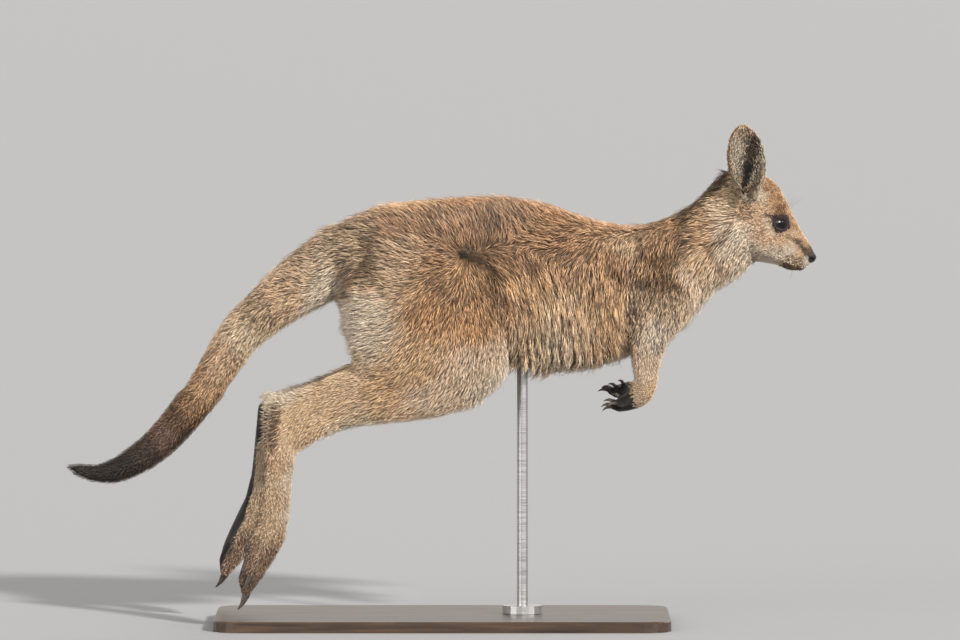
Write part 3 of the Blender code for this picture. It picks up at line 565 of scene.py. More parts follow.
# Markings with a sharper edge: from, to, radius, softness, colour, strength. Across the body they
# reach further, because a width there counts for less.
markWidth = 0.15
markings = {
    "eye patch": ((366.5, 26, 441.5), (372.5, 25, 441), 8.4, 1.8, "lid", 0.92),
    "upper lid": ((359.5, 28, 450.5), (379, 20, 449.5), 1.7, 1.6, "lid", 0.92),
    "eye back corner": ((361, 29, 450.5), (355, 30, 453), 0.8, 2.2, "umber", 0.6),
    "eye front corner": ((381, 19, 447), (382, 19, 439), 1.6, 2, "umber", 0.65),
    "brow mark": ((369, 23, 456), (374, 17, 458), 2.8, 3.4, "browMark", 0.85),
    "above brow": ((372, 16, 461), (370, 13, 470), 1.8, 3.2, "browMark", 0.55),
    "pale behind eye": ((356, 30, 445), (361.5, 28, 431), 2.2, 3, "paleBuff", 0.75),
    "under eye": ((357, 29, 423.5), (372, 25, 429.5), 0.9, 2.2, "umber", 0.4),
    "faint streak": ((379, 20, 430), (389, 15, 422), 0.6, 3, "umber", 0.5),
    "streak to nose": ((389, 15, 422), (400, 9, 410), 0.9, 3.6, "chocolate", 0.85),
    "whisker bed": ((384, 15, 405), (395, 11, 401.5), 1.2, 3.8, "umber", 0.6),
    "pale band over cheek": ((334, 29, 471), (352, 28, 473), 3, 5, "cream", 0.7),
    "lip front": ((400, 8, 402), (402, 6, 396.5), 2.8, 2.4, "greyLip", 0.9),
    # the chin and the line under it: painted shade under the lower jaw
    "chin": ((376, 12, 396), (393, 6, 392), 2.8, 3.4, "umber", 0.8),
    "shade line under chin": ((361, 12, 397), (390, 6, 388.5), 1.2, 1.8, "nightBrown", 0.85),
    "mouth corner": ((378.5, 16, 404), (379.5, 16, 403), 0.8, 1.6, "umber", 0.7),
    "cheek whorl": ((326, 32, 460), (328, 32, 452), 2, 3, "umber", 0.6),
    # painted shade in the fold where the thigh meets the flank
    "shade in hip fold": ((58, 68, 385), (66, 66, 340), 3, 7, "umber", 0.35),
    # the parting at the whorl: its hair is cut short, and its near-black colour is painted shade
    "whorl parting shade": ((22, 74, 409.5), (41, 72, 403.5), 3.4, 3, "slot", 1),
    "parting shade below whorl": ((42, 72, 403), (55, 70, 387), 1, 3.2, "slot", 0.7),
    # painted shade along the top edge of the shank
    "shade on shank top": ((-158, 40, 266), (-131, 40, 274), 4.5, 3, "umber", 0.85),
    "shade over whorl": ((42, 66, 412), (58, 56, 442), 8, 15, "umber", 0.5),
    "shoulder band behind": ((136, 60, 394), (173, 58, 390), 3, 6, "umber", 0.4),
    "shoulder band": ((196, 55, 386), (254, 46, 380), 4, 8, "umber", 0.6),
    # painted shade in the folds of the neck, before and over the shoulder, below the ruff and on the chest
    "shade in neck fold": ((271, 24, 458), (266, 38, 410), 3, 7, "nape", 0.85),
    "shade in fold before blade": ((219, 38, 440), (217, 46, 411), 1.6, 4.5, "umber", 0.9),
    "shade in fold over shoulder": ((216, 46, 409), (258, 42, 408), 1.4, 4.5, "umber", 0.85),
    "shade in ruff fold": ((322, 32, 459), (315, 33, 434), 0.8, 3.8, "umber", 0.65),
    "shade in fold below ruff": ((315, 33, 434), (295, 34, 418), 1.2, 4.5, "umber", 0.8),
    "shade in chest fold": ((293, 33, 420), (313, 26, 389), 1, 3.5, "umber", 0.8),
    "nape": ((270, 10, 459), (311, 10, 494), 7.5, 7, "nape", 0.9),
    "shoulder point": ((236, 50, 404), (244, 48, 392), 6, 9, "umber", 0.4),
    # painted shade along the back edge of the arm
    "shade behind arm": ((206, 46, 336), (207, 44, 302), 0.8, 3.4, "umber", 0.7),
    # painted shade in the grooves at the back of the heel and foot, where the feet meet
    "shade in heel groove": ((-182, 56, 240), (-186, 56, 200), 3.6, 5.5, "umber", 0.85),
    "shade in foot groove": ((-192, 56, 188), (-203, 56, 112), 0.8, 4, "umber", 0.7),
    # painted shade in the fold between the tail's root and the thigh, and behind the thigh
    "shade in fold by tail": ((-99, 48, 368), (-76, 52, 398), 3, 6, "umber", 0.8),
    "shade by tail": ((-74, 52, 422), (-69, 56, 386), 4.5, 8, "umber", 0.8),
}


def linear(shade):
    share = np.array(shade) / 255
    return np.where(share <= 0.04045, share / 12.92, ((share + 0.055) / 1.055) ** 2.4)


def capsuleDistance(points, start, end):
    start, end = np.array(start, float), np.array(end, float)
    line = end - start
    share = np.clip(((points - start) @ line) / max(line @ line, 1e-9), 0, 1)
    return np.linalg.norm(points - start - share[:, None] * line, axis=1)


def smoothStep(low, high, value):
    share = np.clip((value - low) / (high - low), 0, 1)
    return share * share * (3 - 2 * share)


def uneven(at, size=2.6):
    # a cheap rolling unevenness about -1 to 1, so that no marking has a drawn edge
    x, y, z = (at / size).T
    return (np.sin(x + 1.7 * y + 2.0) * np.sin(1.3 * z - 0.6 * y + 0.5) + np.sin(1.9 * z + 0.8 * x + y)
            * np.sin(1.6 * x - 1.1 * z + 4.0))


def mirrored(points):
    # both sides of the animal read the same places
    return np.column_stack([points[:, 0], np.abs(points[:, 1]), points[:, 2]])


def readPlaces(group, at):
    where = np.array([spot for spot, _, _, _ in coat[group].values()], float)
    table = np.array([[*(np.array(way) / np.linalg.norm(way)), hair, *linear(palette[shade])]
                      for _, way, hair, shade in coat[group].values()])
    found = np.empty((len(at), table.shape[1]))
    for start in range(0, len(at), 20000):
        part = at[start:start + 20000]
        away = ((part[:, None, :] - where[None]) ** 2).sum(2) + 30     # keeps the mixing soft up close
        weight = away ** -2.2
        found[start:start + 20000] = (weight @ table) / weight.sum(1, keepdims=True)
    return found


def blurred(values, edges, times):
    count = len(values)
    share = 1 / np.maximum(np.bincount(edges.ravel(), minlength=count), 1)
    columns = values.reshape(count, -1).T.copy()
    for _ in range(times):
        for i, column in enumerate(columns):
            total = np.bincount(edges[:, 0], column[edges[:, 1]], count)
            total += np.bincount(edges[:, 1], column[edges[:, 0]], count)
            columns[i] = 0.35 * column + 0.65 * total * share
    return columns.T.reshape(values.shape)


def relaxed(points, edges, times):
    # evens out the surface without thinning it
    for _ in range(times):
        points = points + 1.05 * (points - blurred(points, edges, 1)) * -0.6
        points = points + 0.66 * (points - blurred(points, edges, 1))
    return points


def readMesh(mesh):
    points = np.empty(len(mesh.vertices) * 3)
    mesh.vertices.foreach_get("co", points)
    edges = np.empty(len(mesh.edges) * 2, int)
    mesh.edges.foreach_get("vertices", edges)
    mesh.calc_loop_triangles()
    triangles = np.empty(len(mesh.loop_triangles) * 3, int)
    mesh.loop_triangles.foreach_get("vertices", triangles)
    return points.reshape(-1, 3) / mm, edges.reshape(-1, 2), triangles.reshape(-1, 3)


def unit(vectors):
    return vectors / np.maximum(np.linalg.norm(vectors, axis=1, keepdims=True), 1e-9)


def normalsOf(points, triangles):
    a, b, c = (points[triangles[:, i]] for i in range(3))
    face = np.cross(b - a, c - a)
    found = np.zeros_like(points)
    for i in range(3):
        for j in range(3):
            found[:, j] += np.bincount(triangles[:, i], face[:, j], len(points))
    return unit(found)


def setPoints(mesh, points):
    mesh.vertices.foreach_set("co", (points * mm).ravel())
    mesh.update()


def applied(obj):
    graph = bpy.context.evaluated_depsgraph_get()
    mesh = bpy.data.meshes.new_from_object(obj.evaluated_get(graph), depsgraph=graph)
    bpy.data.objects.remove(obj)
    return mesh


# the skin
skin = {
    "voxel": 2.1,
    "handVoxel": 0.9,
    "grow": 0.45,            # closes the fine cuts between the solids
    "hairRise": 0.31,        # depth of the coat as a share of its hair's length
    "finerHead": 352,        # the head is finer in front of this x
    "atClaws": (3, 16),      # distances from a toe's claw between which the coat grows deep
    "atRod": (20, 42),       # the same from the rod's middle line
    "overRod": 330,          # nothing above this height minds the rod
    # the skin under the hair is darkened: dark underfur and painted shade between the hairs
    "underCoat": 0.5,        # the skin's shade under the hair
    "cupDark": 0.3,          # how much darker that is inside the ear
}
fleshNodes = [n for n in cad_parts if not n.startswith(("eye_", "claw_", "stand_"))]
handNodes = [n for n in fleshNodes if n.startswith("hand_")]
eyeNodes = [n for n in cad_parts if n.startswith("eye_")]


def fused(name, nodes, voxel):
    # the solids grown by a hair's breadth and melted into one surface
    bm = bmesh.new()
    for node in nodes:
        bm.from_mesh(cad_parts[node].data)
    bmesh.ops.remove_doubles(bm, verts=bm.verts, dist=1e-6)
    bm.normal_update()
    for vertex in bm.verts:
        vertex.co += vertex.normal * skin["grow"] * mm
    obj = meshObject(name, meshFrom(bm, name))
    remesh = obj.modifiers.new("melt", "REMESH")
    remesh.mode, remesh.voxel_size, remesh.adaptivity = "VOXEL", voxel * mm, 0
    return applied(obj)


def biggestIsland(mesh):
    bm = bmesh.new()
    bm.from_mesh(mesh)
    left, best = set(bm.verts), []
    while left:
        edge, island = [next(iter(left))], []
        left.discard(edge[0])
        while edge:
            vertex = edge.pop()
            island.append(vertex)
            for line in vertex.link_edges:
                other = line.other_vert(vertex)
                if other in left:
                    left.discard(other)
                    edge.append(other)
        if len(island) > len(best):
            best = island
    keep = set(best)
    bmesh.ops.delete(bm, geom=[v for v in bm.verts if v not in keep], context="VERTS")
    bm.to_mesh(mesh)
    bm.free()
    return mesh


cadTriangles, cadPoints, cadGroup = [], [], []
for node in fleshNodes + eyeNodes:
    points, _, triangles = readMesh(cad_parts[node].data)
    word = node.split("_")[0]
    cadTriangles += (triangles + sum(len(p) for p in cadPoints)).tolist()
    cadPoints.append(points)
    cadGroup += [groups.index(partGroups.get(word, word))] * len(triangles)
cadTree = BVHTree.FromPolygons(np.vstack(cadPoints).tolist(), cadTriangles)
cadGroup = np.array(cadGroup)


def groupShares(points, edges, times):
    nearest = [cadTree.find_nearest(p)[2] for p in points.tolist()]
    shares = np.eye(len(groups))[cadGroup[nearest]]
    return blurred(shares, edges, times)


def readCoat(points, shares):
    # lie, length and colour of the hair at each point, mixed from the places of its own part
    at = mirrored(points)
    found = np.zeros((len(points), 7))
    for i, group in enumerate(groups):
        part = shares[:, i] > 0.01
        found[part] += shares[part, i:i + 1] * readPlaces(group, at[part])
    found[:, 1] *= np.clip(points[:, 1] / 4, -1, 1)
    ragged, flat = uneven(at), (1, markWidth, 1)
    for start, end, radius, soft, colour, strength in markings.values():
        away = ragged * soft * 0.45 + capsuleDistance(at * flat, np.multiply(start, flat), np.multiply(end, flat))
        share = strength * (1 - smoothStep(radius, radius + soft, away))
        found[:, 4:] += share[:, None] * (linear(palette[colour]) - found[:, 4:])
        # the near-black painted shade of a parting also shortens its hair
        if colour == "slot":
            found[:, 3] *= 1 - 0.85 * share
    return found[:, :3], found[:, 3], found[:, 4:]


toeClaws = [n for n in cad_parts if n.startswith("claw_") and n.endswith("_toe")]
rodPlace = np.array([sum(side[i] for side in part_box("stand_rod")) / 2 / mm for i in range(2)])


def rodDistance(points):
    return np.hypot(points[:, 0] - rodPlace[0], points[:, 1] - rodPlace[1])


def coatDepth(points, hair):
    # how far the skin lies inside the solids: less at the claws, the palms, the soles and the rod
    depth = hair * skin["hairRise"]
    for claw in toeClaws:
        low, high = (np.array(corner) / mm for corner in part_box(claw))
        middle = (low + high) / 2
        middle[2] = high[2]
        depth *= 0.1 + 0.9 * smoothStep(*skin["atClaws"], np.linalg.norm(points - middle, axis=1))
    x, z = points[:, 0], points[:, 2]
    # the wrists and palms, then the soles
    depth *= 1 - 0.85 * smoothStep(284, 268, z) * smoothStep(200, 204, x) * smoothStep(262, 256, x)
    depth *= 1 - 0.9 * smoothStep(-184, -194, x) * smoothStep(70, 90, z) * smoothStep(262, 254, z)
    low = points[:, 2] < skin["overRod"]
    depth[low] *= smoothStep(*skin["atRod"], rodDistance(points[low]))
    return depth


def sculptEye(points, sign):
    # a ball of skin round the eye: lids that wrap it, and behind the opening a cup that it fills
    centre = np.array(eyes["centre"]) * (1, sign, 1)
    axis = unit(np.array([eyes["axis"]]) * (1, sign, 1))[0]
    turn = math.radians(eyes["tilt"])
    ahead = np.array([math.cos(turn), 0, math.sin(turn)])
    ahead -= axis * (ahead @ axis)
    ahead /= np.linalg.norm(ahead)
    up = np.cross(axis, ahead) * -sign
    off = points - centre
    away = np.linalg.norm(off, axis=1)
    u, v, w = off @ ahead, off @ up, off @ axis
    half, above, below = eyes["opening"]
    ring = np.hypot(u / half, v / np.where(v > 0, above, below))
    near = (w > 0) & (away < eyes["radius"] + 9) & (ring < 2.6)
    r, lid = eyes["radius"], eyes["lid"]
    # how far from the eye's middle the skin lies, by rings: 1 is the edge of the opening
    stops = [0.0, 0.88, 1.0, 1.12, 1.3, 1.52, 1.75, 2.6]
    heights = [r - 2.6, r - 2.2, r + 0.15, r + lid, r + lid + 0.25, r + 0.7, r + 1.6, r + 2.2]
    target = np.interp(ring, stops, heights)
    share = 1 - smoothStep(1.45, 2.4, ring)
    wanted = centre + unit(off) * target[:, None]
    moved = points.copy()
    moved[near] += share[near, None] * (wanted - points)[near]
    return moved, ring, near


creases = {
    # from, to, radius, depth: all pressed into the skin
    "mouth": ([(404, 2, 397.5), (399, 8.5, 396.5), (390, 12, 396), (378, 15.5, 399), (370, 18, 402)], 0.9, 1.1),
    "nostril": ([(406.5, 5.8, 402.2), (404.2, 7.0, 403.6), (402.6, 7.4, 406.0)], 1.1, 2.2),
    "lip cleft": ([(410.6, 0, 401.5), (409.0, 0, 399.0), (405.5, 0, 396.5)], 0.7, 1.0),
    "nose wing": ([(402.0, 8.4, 400.6), (399.6, 8.6, 404.0), (400.0, 7.4, 409.0)], 0.9, 0.7),
    "tear line": ([(378.5, 23, 438), (383, 19, 434.5)], 0.9, 0.8),
}


def pressCreases(points, normals):
    at = mirrored(points)
    for path, radius, depth in creases.values():
        away = np.min([capsuleDistance(at, a, b) for a, b in zip(path, path[1:])], axis=0)
        points = points - normals * (depth * np.exp(-(away / radius) ** 2))[:, None]
    return points


def makeSkin():
    mesh = biggestIsland(fused("skin", [n for n in fleshNodes if n not in handNodes] + eyeNodes, skin["voxel"]))
    points, edges, triangles = readMesh(mesh)
    points = relaxed(points, edges, 6)
    print("melted,", len(points), "points")
    shares = groupShares(points, edges, 8)
    hair = readCoat(points, shares)[1]
    depth = blurred(coatDepth(points, hair), edges, 6)
    normals = unit(blurred(normalsOf(points, triangles), edges, 8))
    points = relaxed(points - normals * (depth + skin["grow"])[:, None], edges, 4)
    setPoints(mesh, points)
    print("skin lies", round(float(depth.max()), 1), "mm deep at most")
    obj = meshObject("skin", mesh)
    for node in handNodes:
        hand = meshObject(node + "_skin", fused(node, [node], skin["handVoxel"]))
        join = obj.modifiers.new(node, "BOOLEAN")
        join.object, join.operation, join.solver = hand, "UNION", "MANIFOLD"
    mesh = applied(obj)
    for node in handNodes:
        bpy.data.objects.remove(bpy.data.objects[node + "_skin"])
    return refineHead(mesh)


def splitFaces(bm, wanted):
    chosen = {edge for face in bm.faces if wanted(face.calc_center_median() / mm) for edge in face.edges}
    bmesh.ops.subdivide_edges(bm, edges=list(chosen), cuts=1, use_grid_fill=True)


def refineHead(mesh):
    bm = bmesh.new()
    bm.from_mesh(mesh)
    centre = Vector(eyes["centre"])
    splitFaces(bm, lambda p: p.x > skin["finerHead"] and p.z > 380)
    splitFaces(bm, lambda p: (Vector((p.x, abs(p.y), p.z)) - centre).length < 17 and abs(p.y) > 20 or p.x > 397)
    bmesh.ops.triangulate(bm, faces=[f for f in bm.faces if len(f.verts) > 4])
    bm.to_mesh(mesh)
    bm.free()
    points, edges, triangles = readMesh(mesh)
    fine = smoothStep(skin["finerHead"] - 4, skin["finerHead"] + 4, points[:, 0])[:, None]
    points += fine * (relaxed(points, edges, 6) - points)
    for sign in (-1, 1):
        points = sculptEye(points, sign)[0]
    points = pressCreases(points, unit(blurred(normalsOf(points, triangles), edges, 4)))
    setPoints(mesh, points)
    return mesh


skinMesh = makeSkin()
points, edges, triangles = readMesh(skinMesh)
normals = normalsOf(points, triangles)
print("skin made,", len(points), "points")

earShape = {
    "facing": (0.12, 0.98, 0.05),    # the way the cup of the left ear opens
    # marks in the cup: from, to, radius, softness, strength, unevenness
    "top": ((324, 0, 546), (342, 0, 540), 5.0, 9.0, 0.6, 3.2),
    "dark": ((335, 0, 503), (341.5, 0, 531), 5.4, 5.5, 0.95, 3.2),    # mottled hair deep in the cup
    # the ear's opening, painted black as the shade in it
    "slot": ((331, 0, 478.5), (335.5, 0, 504), 2.6, 2.6, 1.0, 0.7),   # the opening of the ear
    "hair": (3.8, 2.8),              # its length in the cup, and how much shorter it is by the slot
}
shares = groupShares(points, edges, 5)
lie, hair, colour = readCoat(points, shares)
at = mirrored(points)
region = shares.argmax(1)
side = np.sign(points[:, 1])


def along(values, direction):
    direction = np.array(direction, float)
    return values @ (direction / np.linalg.norm(direction))


def regionShare(*names):
    return sum(shares[:, groups.index(name)] for name in names)


# the cup of the ear is pale at its edges and dark in its depth
outward = normals * np.column_stack([np.ones(len(side)), side, np.ones(len(side))])
cup = regionShare("ear") * smoothStep(0.3, 0.65, along(outward, earShape["facing"]))
# it begins above the ear's root, and higher towards the front
cup *= smoothStep(-2, 2, at[:, 2] - 474 - 1.1 * np.maximum(at[:, 0] - 332, 0))
inEar = smoothStep(0.0, 0.3, along(outward, earShape["facing"]))
colour += cup[:, None] * (linear(palette["earPale"]) - colour)
# the top is ticked, the depth mottled dark, and the opening painted black as its shade
for spot, shade in (("top", "ticked"), ("dark", "earDark"), ("slot", "black")):
    start, end, radius, soft, strength, ragged = earShape[spot]
    away = capsuleDistance(at * (1, 0, 1), start, end) + ragged * uneven(at, 1.4)
    dark = strength * inEar * (1 - smoothStep(radius, radius + soft, away))
    dark *= (shares[:, groups.index("ear")] > 0.3) if spot != "slot" else (at[:, 0] > 325)
    colour += dark[:, None] * (linear(palette[shade]) - colour)

# bare skin: palms, soles, nose and the edges of the lids. Each pair runs from hair to bare skin,
# and the edge of a sole is heights and the x at each of them.
bareSkin = {
    "toeward": (150, 110),           # heights between which the sole turns to face back
    "palm": (213, 208),
    "nose": (401.0, 402.6),
    "noseTop": (411.0, 409.4),
    "noseBottom": (397.2, 398.6),
    "leather": (404.5, 408.5),
    "rightSole": ([45, 90, 130, 150, 168, 182, 196, 210, 224, 240, 250],
                  [-240, -224, -212, -196, -194, -193.6, -193.2, -192, -191.5, -191, -190]),
    "leftSole": ([45, 60, 72, 86, 102, 113, 124, 146, 168, 182, 196, 205, 250],
                 [-252, -246, -240, -232, -226, -220, -217, -209.5, -207, -206, -205, -197, -195.5]),
}
toeward = smoothStep(*bareSkin["toeward"], at[:, 2])
facing = along(outward, (-0.95, -0.1, 0.2)) * (1 - toeward) + along(outward, (-0.96, -0.1, 0.0)) * toeward
sole = regionShare("foot") * smoothStep(0, 0.12, facing - 0.86 + 0.12 * toeward)
heelLine = np.where(side < 0, *(np.interp(at[:, 2], *bareSkin[foot]) for foot in ("rightSole", "leftSole")))
heel = regionShare("foot", "leg") * smoothStep(0.6, -0.6, at[:, 0] - heelLine) * smoothStep(254, 251, at[:, 2])
across = at[:, 0] + 0.25 * (at[:, 2] - 250) + 2.5 * uneven(at, 1.8)
palm = regionShare("hand") * smoothStep(*bareSkin["palm"], across)
nose = smoothStep(*bareSkin["nose"], at[:, 0] + 0.4 * uneven(at, 1.2)) * smoothStep(*bareSkin["noseTop"], at[:, 2])
nose *= smoothStep(*bareSkin["noseBottom"], at[:, 2] + 0.3 * (at[:, 0] - 408))
bare = np.clip(sole + palm + nose + heel, 0, 1)
lidRim = np.zeros(len(points))
for sign in (-1, 1):
    _, ring, near = sculptEye(points, sign)
    lidRim = np.maximum(lidRim, near * (1 - smoothStep(1.25, 1.5, ring)))
bare = np.maximum(bare, lidRim)
colour += bare[:, None] * (linear(palette["black"]) - colour)
colour += lidRim[:, None] * (linear(palette["lid"]) - colour)
colour += (nose * smoothStep(*bareSkin["leather"], at[:, 2]))[:, None] * (linear(palette["leather"]) - colour)
hair = hair * (1 - 0.9 * bare)


def storeColour(mesh, values):
    layer = mesh.color_attributes.new("coatColour", "FLOAT_COLOR", "POINT")
    layer.data.foreach_set("color", np.column_stack([values, np.ones(len(values))]).ravel())


# the skin under the hair is darkened, as dark underfur and painted shade between the hairs
under = skin["underCoat"]
storeColour(skinMesh, colour * (under - skin["cupDark"] * cup + (1 - under) * bare)[:, None])
skinMesh.attributes.new("bare", "FLOAT", "POINT").data.foreach_set("value", bare)
skinMesh.shade_smooth()
skinPiece = meshObject("skin", skinMesh, skinMaterial())
print("skin coloured")

# tufts, with one value for each part of the body in the order of groups: trunk, tail, leg, foot,
# arm, hand, head and ear
tufts = {
    "apart": [1.62, 1.4, 1.58, 1.18, 1.3, 1.1, 0.84, 1.0],      # millimetres
    "width": [0.64, 0.6, 0.6, 0.5, 0.54, 0.48, 0.44, 0.4],
    "rise": [37, 35, 36, 31, 35, 24, 25, 19],                   # degrees
    "droop": [0.25, 0.0, 0.1, 0.0, 0.1, 0.0, 0.0, 0.0],
    "curl": [0.1, 0.25, 0.16, 0.6, 0.25, 0.3, 0.5, 0.4],        # how far strands turn at random
    "streak": [1.0, 0.9, 0.9, 0.7, 0.9, 0.3, 0.3, 0.7],
    "grain": [1.3, 1.9, 1.3, 2.8, 2.0, 1.3, 2.4, 3.0],
}
# how tufts gather into strands, by the length of the hair in millimetres
strands = {
    "lengths": [4, 12, 20, 27],
    "size": [1.3, 1.7, 2.0, 2.5],
    "gather": [0.15, 0.28, 0.4, 0.55],
    "run": 3.8,                 # strands in line share their shade over this many sizes
    "contrast": 0.34,
    "grain": 0.42,              # how much strands differ at random
    "lift": 3.5,                # degrees that a pale strand stands above the rest
    "raise": 13,                # degrees added where the hair is said to point out of the skin
    "neighbours": 22,           # strands that share a shade
    "narrow": 0.36,             # how far aside they share it, in sizes
    "passes": 6,
    # how much strands, and then single hairs, differ at random
    "turn": (0.1, 0.08),
    "long": (0.12, 0.12),
    "tilt": (3, 4),
    "shade": 0.38,
    "limits": (8, 80),          # degrees that any hair may rise
}
hairs = {
    "darkTips": (0.27, 0.15),   # share of the hairs, and how many fewer where the coat is pale
    "paleTips": (0.72, 0.2),    # from this share on, and how many more there
    # multiplied with the coat's colour
    # the dark root: dark underfur and painted shade between the hairs
    "root": (0.23, 0.18, 0.13),
    "warmed": (1.06, 0.94, 0.8),
    # added to it
    "bleached": (0.62, 0.46, 0.34),
    "lighter": (0.66, 0.5, 0.34),
    "inPaleCoat": (-0.02, 0.06, 0.12),
}
belly = {
    "apart": 11.0,              # from lock to lock
    "top": 350,                 # the locks begin below this height
    "full": 300,                # and are whole below this one
    "gather": 0.9,
    "ragged": 26.0,             # how far the edge rises between two locks
    # painted shade on the hair between the locks
    "dark": 0.85,
    "slant": 0.14,
    "sway": (5, 23, 110),       # how far, over what length and over what height
    "wobble": (2.2, 7.9, 60),
}
pieces = {"mostTufts": 19500, "uvPatch": 0.003}
unwrapAxes = {
    # a line through each part; the coat is unrolled round it
    "trunk": ((-110, 0, 395), (310, 0, 430)),
    "leg": ((10, 50, 390), (-165, 45, 240)),
    "tail": ((-120, 0, 390), (-405, 0, 160)),
    "arm": ((255, 36, 390), (220, 36, 260)),
    "foot": ((-178, 38, 250), (-215, 38, 40)),
    "head": ((320, 0, 450), (400, 0, 408)),
    "ear": ((333, 24, 470), (329, 30, 549)),
    "hand": ((226, 36, 266), (190, 36, 244)),
}


def rootPlaces(apart):
    # random points on the skin, thinned to about one in each small cube
    chosen = []
    a, b, c = (points[triangles[:, i]] for i in range(3))
    area = np.linalg.norm(np.cross(b - a, c - a), axis=1) / 2
    kind = region[triangles[:, 0]]
    for i in range(len(groups)):
        faces = np.flatnonzero(kind == i)
        gap = tufts["apart"][i]
        total = int(area[faces].sum() / gap ** 2 * 3)
        picked = faces[chance.choice(len(faces), total, p=area[faces] / area[faces].sum())]
        u, v = chance.random(total), chance.random(total)
        u, v = np.where(u + v > 1, 1 - u, u), np.where(u + v > 1, 1 - v, v)
        parts = np.column_stack([1 - u - v, u, v])
        where = (points[triangles[picked]] * parts[:, :, None]).sum(1)
        cube = np.floor(where / (gap * apart)).astype(np.int64)
        _, first = np.unique(cube[:, 0] * 4000003 + cube[:, 1] * 2003 + cube[:, 2], return_index=True)
        chosen.append((np.full(len(first), i), picked[first], parts[first]))
    return (np.concatenate([part[i] for part in chosen]) for i in range(3))


def mixed(values, face, parts):
    return (values[triangles[face]] * parts.reshape(len(parts), 3, *[1] * (values.ndim - 1))).sum(1)


kind, face, parts = rootPlaces(1.22)
root = mixed(points, face, parts)
way = unit(mixed(normals, face, parts))
flow = mixed(lie, face, parts)
length = mixed(hair, face, parts)
shade = mixed(colour, face, parts)
inCup = mixed(cup, face, parts)
smooth = mixed(bare, face, parts)
# none on bare skin, where the hair is too short to see, or on the rod
keep = (smooth < 0.55) & (length > 0.8)
keep &= (rodDistance(root) > 25) | (root[:, 2] > skin["overRod"])
kind, root, way, flow, length, shade, inCup = (v[keep] for v in (kind, root, way, flow, length, shade, inCup))
count = len(root)
print(count, "tufts", {g: int((kind == i).sum()) for i, g in enumerate(groups)})


def setting(name):
    return np.array(tufts[name])[kind]


# inside the ear the hair has its own length, short by the slot so that it stays open
sideOf = np.sign(root[:, 1])
slotAway = capsuleDistance(root * (1, 0, 1), *earShape["slot"][:2])
cupHair, shorter = earShape["hair"]
length = np.where(inCup > 0.5, cupHair - shorter * smoothStep(7, 3.5, slotAway), length)


def spread(size):
    return chance.normal(size=size)


def gatherStrands():
    # each tuft's nearest strand head in its own part, and a shade that runs on along the flow
    nearest, streak = np.zeros(count, int), np.zeros(count)
    for i in range(len(groups)):
        mine = np.flatnonzero(kind == i)
        size = np.interp(length[mine], strands["lengths"], strands["size"])
        odds = (tufts["apart"][i] / size) ** 2 * 1.1
        chosen = chance.random(len(mine)) < odds
        heads, size = mine[chosen], size[chosen]
        tree = KDTree(len(heads))
        for j, spot in enumerate(root[heads].tolist()):
            tree.insert(spot, j)
        tree.balance()
        nearest[mine] = heads[[tree.find(spot)[1] for spot in root[mine].tolist()]]
        around = np.array([[found[1] for found in tree.find_n(spot, strands["neighbours"])]
                           for spot in root[heads].tolist()])
        off = root[heads][around] - root[heads][:, None]
        ahead = (off * flow[heads][:, None]).sum(2)
        aside = (off ** 2).sum(2) - ahead ** 2
        size = size[:, None]
        weight = np.exp(-aside / (strands["narrow"] * size) ** 2 - (ahead / (strands["run"] * size)) ** 2)
        value = spread(len(heads))
        for _ in range(strands["passes"]):
            value = (value[around] * weight).sum(1) / weight.sum(1)
        streak[heads] = (value - value.mean()) / value.std()
    return nearest, streak[nearest]


# the hair lies along the skin; lift is how far the places say that it points out of it
lift = (flow * way).sum(1)
flow = unit(flow - way * lift[:, None])
clump, streak = gatherStrands()
clumpTurn = spread(count)[clump] * strands["turn"][0]
clumpLong = np.exp(spread(count) * strands["long"][0])[clump]
streak *= setting("streak") * (1 + 0.7 * smoothStep(19, 28, length))
clumpShade = streak * strands["contrast"] + spread(count)[clump] * strands["grain"] * setting("grain")
clumpRise = streak * strands["lift"] + spread(count)[clump] * strands["tilt"][0]
across = np.cross(way, flow)
turn = clumpTurn + spread(count)[clump] * setting("curl") + spread(count) * strands["turn"][1]
heading = flow * np.cos(turn)[:, None] + across * np.sin(turn)[:, None]
length = length * clumpLong * np.exp(spread(count) * strands["long"][1])
rise = setting("rise") + clumpRise + spread(count) * strands["tilt"][1] + strands["raise"] * np.clip(lift, 0, 1)
rise = np.radians(np.clip(rise + 40 * smoothStep(0.9, 1, lift), *strands["limits"]))
fall = rise * 0.15


def step(angle, share):
    droop = np.column_stack([np.zeros(count), np.zeros(count), -setting("droop") * np.maximum(-flow[:, 2], 0)])
    return unit(heading * np.cos(angle)[:, None] + way * np.sin(angle)[:, None] + droop) * (length * share)[:, None]


base = root - way
middle = root + step(rise, 0.5)
tip = middle + step(fall, 0.5)
gather = np.interp(length, strands["lengths"], strands["gather"])[:, None]
headTip, headMiddle = (tip - root)[clump] + root[clump], (middle - root)[clump] + root[clump]
tip += (headTip - tip) * gather
middle += (headMiddle - middle) * gather * 0.45

